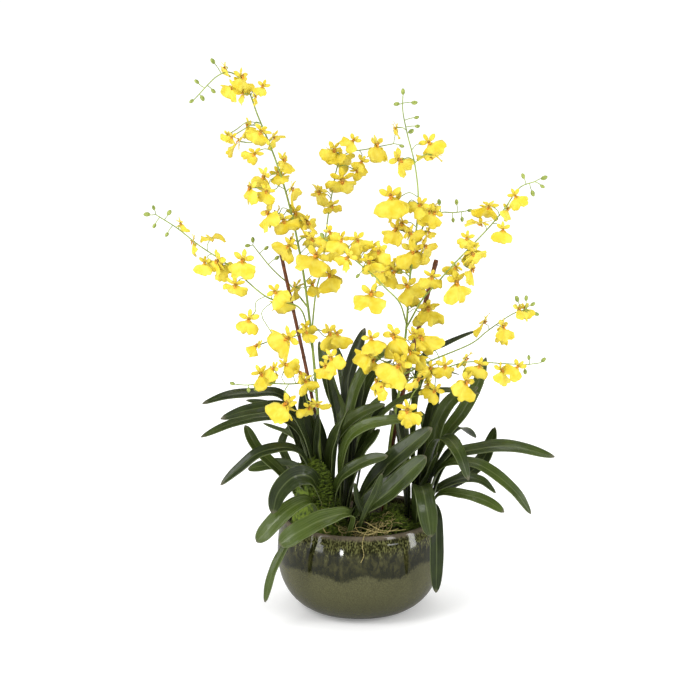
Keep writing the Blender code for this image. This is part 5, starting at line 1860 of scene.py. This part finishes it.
        blossoms=(
            (0.207, -0.020, 0.412, 0.022, 15, 0, -10), (0.162, -0.018, 0.396, 0.028, 60, 0, -20),
            (0.187, -0.022, 0.390, 0.026, 10, 0, 0), (0.190, -0.014, 0.377, 0.022, 20, 10, -10)),
        buds=(
            (0.205, -0.016, 0.425), (0.217, -0.016, 0.426), (0.226, -0.016, 0.418), (0.231, -0.016, 0.405),
            (0.223, -0.014, 0.404))),
    Spray(
        "flower_branch_right_lowest", "flower_spike_right", 0.296,
        route=(
            (0.070, -0.042, 0.326), (0.100, -0.058, 0.338), (0.137, -0.060, 0.350), (0.182, -0.058, 0.348),
            (0.214, -0.056, 0.346), (0.233, -0.055, 0.348)),
        blossoms=(
            (0.204, -0.060, 0.344, 0.024, 10, 0, 0), (0.182, -0.062, 0.340, 0.026, 20, 10, 0),
            (0.137, -0.066, 0.326, 0.032, 0, 0, 0), (0.137, -0.060, 0.356, 0.026, 10, 70, 0),
            (0.154, -0.062, 0.347, 0.026, 15, 0, -10), (0.109, -0.066, 0.347, 0.028, 5, 0, 0),
            (0.090, -0.068, 0.345, 0.022, 0, 0, 10), (0.097, -0.070, 0.315, 0.026, 0, 10, 0),
            (0.043, -0.084, 0.391, 0.036, -5, 0, 0), (0.077, -0.082, 0.389, 0.036, 5, 0, 0),
            (0.014, -0.080, 0.385, 0.028, -15, 0, 10), (0.012, -0.084, 0.367, 0.028, -5, 10, 0),
            (0.064, -0.088, 0.371, 0.030, 5, 0, 0), (0.050, -0.090, 0.353, 0.036, -5, 10, 0),
            (0.030, -0.088, 0.325, 0.026, -15, 0, 10), (0.074, -0.086, 0.335, 0.028, 10, 0, 0),
            (0.061, -0.094, 0.296, 0.034, 0, 0, 0)),
        buds=(
            (0.237, -0.055, 0.352), (0.218, -0.055, 0.355), (0.214, -0.054, 0.336))),
)


# --- studio ---------------------------------------------------------------------------------------
@dataclass(frozen=True)
class Studio:
    """White floor, soft lights and the camera. Mirrors see a darker room than the camera does.

    Attributes:
        floor_size: the floor's side.
        lens: the camera's focal length in millimetres.
        camera_place: where the camera stands.
        camera_drop: degrees that it looks down.
        target: what the lights look at.
        backdrop: the world's strength behind the plant.
        ambient: its strength as a light.
        mirrored: its strength in mirrors.
        softboxes: name, place, width and height, and power in watts of each panel light.
    """

    floor_size: float = 40.0
    lens: float = 87.4
    camera_place: Point = (-0.0128, -2.2, 0.817)
    camera_drop: float = 11.9
    backdrop: float = 1.06
    ambient: float = 0.80
    mirrored: float = 0.06
    target: Point = (0.0, 0.0, 0.35)
    softboxes: tuple[tuple[str, Point, tuple[float, float], float], ...] = (
        ("key", (-1.55, -1.5, 2.1), (1.1, 1.1), 28.0),
        ("window", (1.3, -1.2, 1.0), (0.5, 0.9), 9.0),
        ("top", (0.2, 0.5, 2.6), (1.4, 1.4), 18.0),
        ("left_panel", (-1.7, -0.95, 0.60), (0.7, 1.3), 13.0),
        ("right_panel", (1.6, -0.35, 0.42), (0.30, 1.1), 8.0),
        ("spark", (-0.66, -1.48, 0.10), (0.10, 0.10), 1.4))

    def build(self) -> None:
        """Builds the floor, the lights and the camera."""
        bm = bmesh.new()
        bmesh.ops.create_grid(bm, x_segments=1, y_segments=1, size=self.floor_size / 2)
        mesh = to_mesh(bm, "studio_floor")
        mesh.materials.append(FloorFinish().make())
        floor = bpy.data.objects.new("studio_floor", mesh)
        bpy.context.scene.collection.objects.link(floor)
        self.light_room()
        for softbox in self.softboxes:
            self.hang(*softbox)
        camera = bpy.data.objects.new("camera", bpy.data.cameras.new("camera"))
        camera.data.lens = self.lens
        camera.data.sensor_width = 36.0
        camera.location = self.camera_place
        camera.rotation_euler = (math.radians(90 - self.camera_drop), 0.0, 0.0)
        bpy.context.scene.collection.objects.link(camera)
        bpy.context.scene.camera = camera
        bpy.context.scene.view_settings.view_transform = "Standard"
        bpy.context.scene.view_settings.look = "None"

    def light_room(self) -> None:
        """Makes a white world whose strength depends on whether a camera, a mirror or neither sees it."""
        world = bpy.data.worlds.new("studio")
        world.use_nodes = True
        tree = world.node_tree
        seen = tree.nodes.new("ShaderNodeLightPath")
        strength: bpy.types.NodeSocket | None = None
        for ray, value in (("Is Glossy Ray", self.mirrored), ("Is Camera Ray", self.backdrop)):
            choice = tree.nodes.new("ShaderNodeMix")
            tree.links.new(seen.outputs[ray], choice.inputs[0])
            choice.inputs[2].default_value = self.ambient
            choice.inputs[3].default_value = value
            if strength is not None:
                tree.links.new(strength, choice.inputs[2])
            strength = choice.outputs[0]
        back = tree.nodes["Background"]
        back.inputs["Color"].default_value = (1.0, 1.0, 1.0, 1.0)
        tree.links.new(strength, back.inputs["Strength"])
        bpy.context.scene.world = world

    def hang(self, name: str, place: Point, size: tuple[float, float], power: float) -> None:
        """Adds a panel light that looks at the middle of the plant.

        Args:
            name: the light's name.
            place: where it hangs.
            size: its width and height.
            power: its power in watts.
        """
        lamp = bpy.data.lights.new(name, "AREA")
        lamp.shape = "RECTANGLE"
        lamp.size, lamp.size_y = size
        lamp.energy = power
        light = bpy.data.objects.new(name, lamp)
        light.location = place
        light.rotation_euler = (Vector(self.target) - Vector(place)).to_track_quat("-Z", "Y").to_euler()
        bpy.context.scene.collection.objects.link(light)


def main() -> None:
    """Builds the studio, then the bowl, the bed, the canes, the leaves and the flowers."""
    logging.basicConfig(level=logging.INFO, format="%(message)s")
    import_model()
    Studio().build()
    finishes = Finishes.make_all()
    Bowl().build(finishes)
    Bed().build(finishes)
    for cane in CANES:
        cane.build(finishes)
    for leaf in LEAVES:
        leaf.build(finishes, [leaf.name])
    for leaf in INNER_LEAVES:
        leaf.build(finishes)
    templates = [Blossom(seed).build() for seed in range(BLOSSOM_KINDS)]
    stems: dict[str, list[Vector]] = {}
    for spray in SPRAYS:
        spray.build(templates, stems, finishes)
    for template in templates:
        bpy.data.meshes.remove(template)


if __name__ == "__main__":
    main()
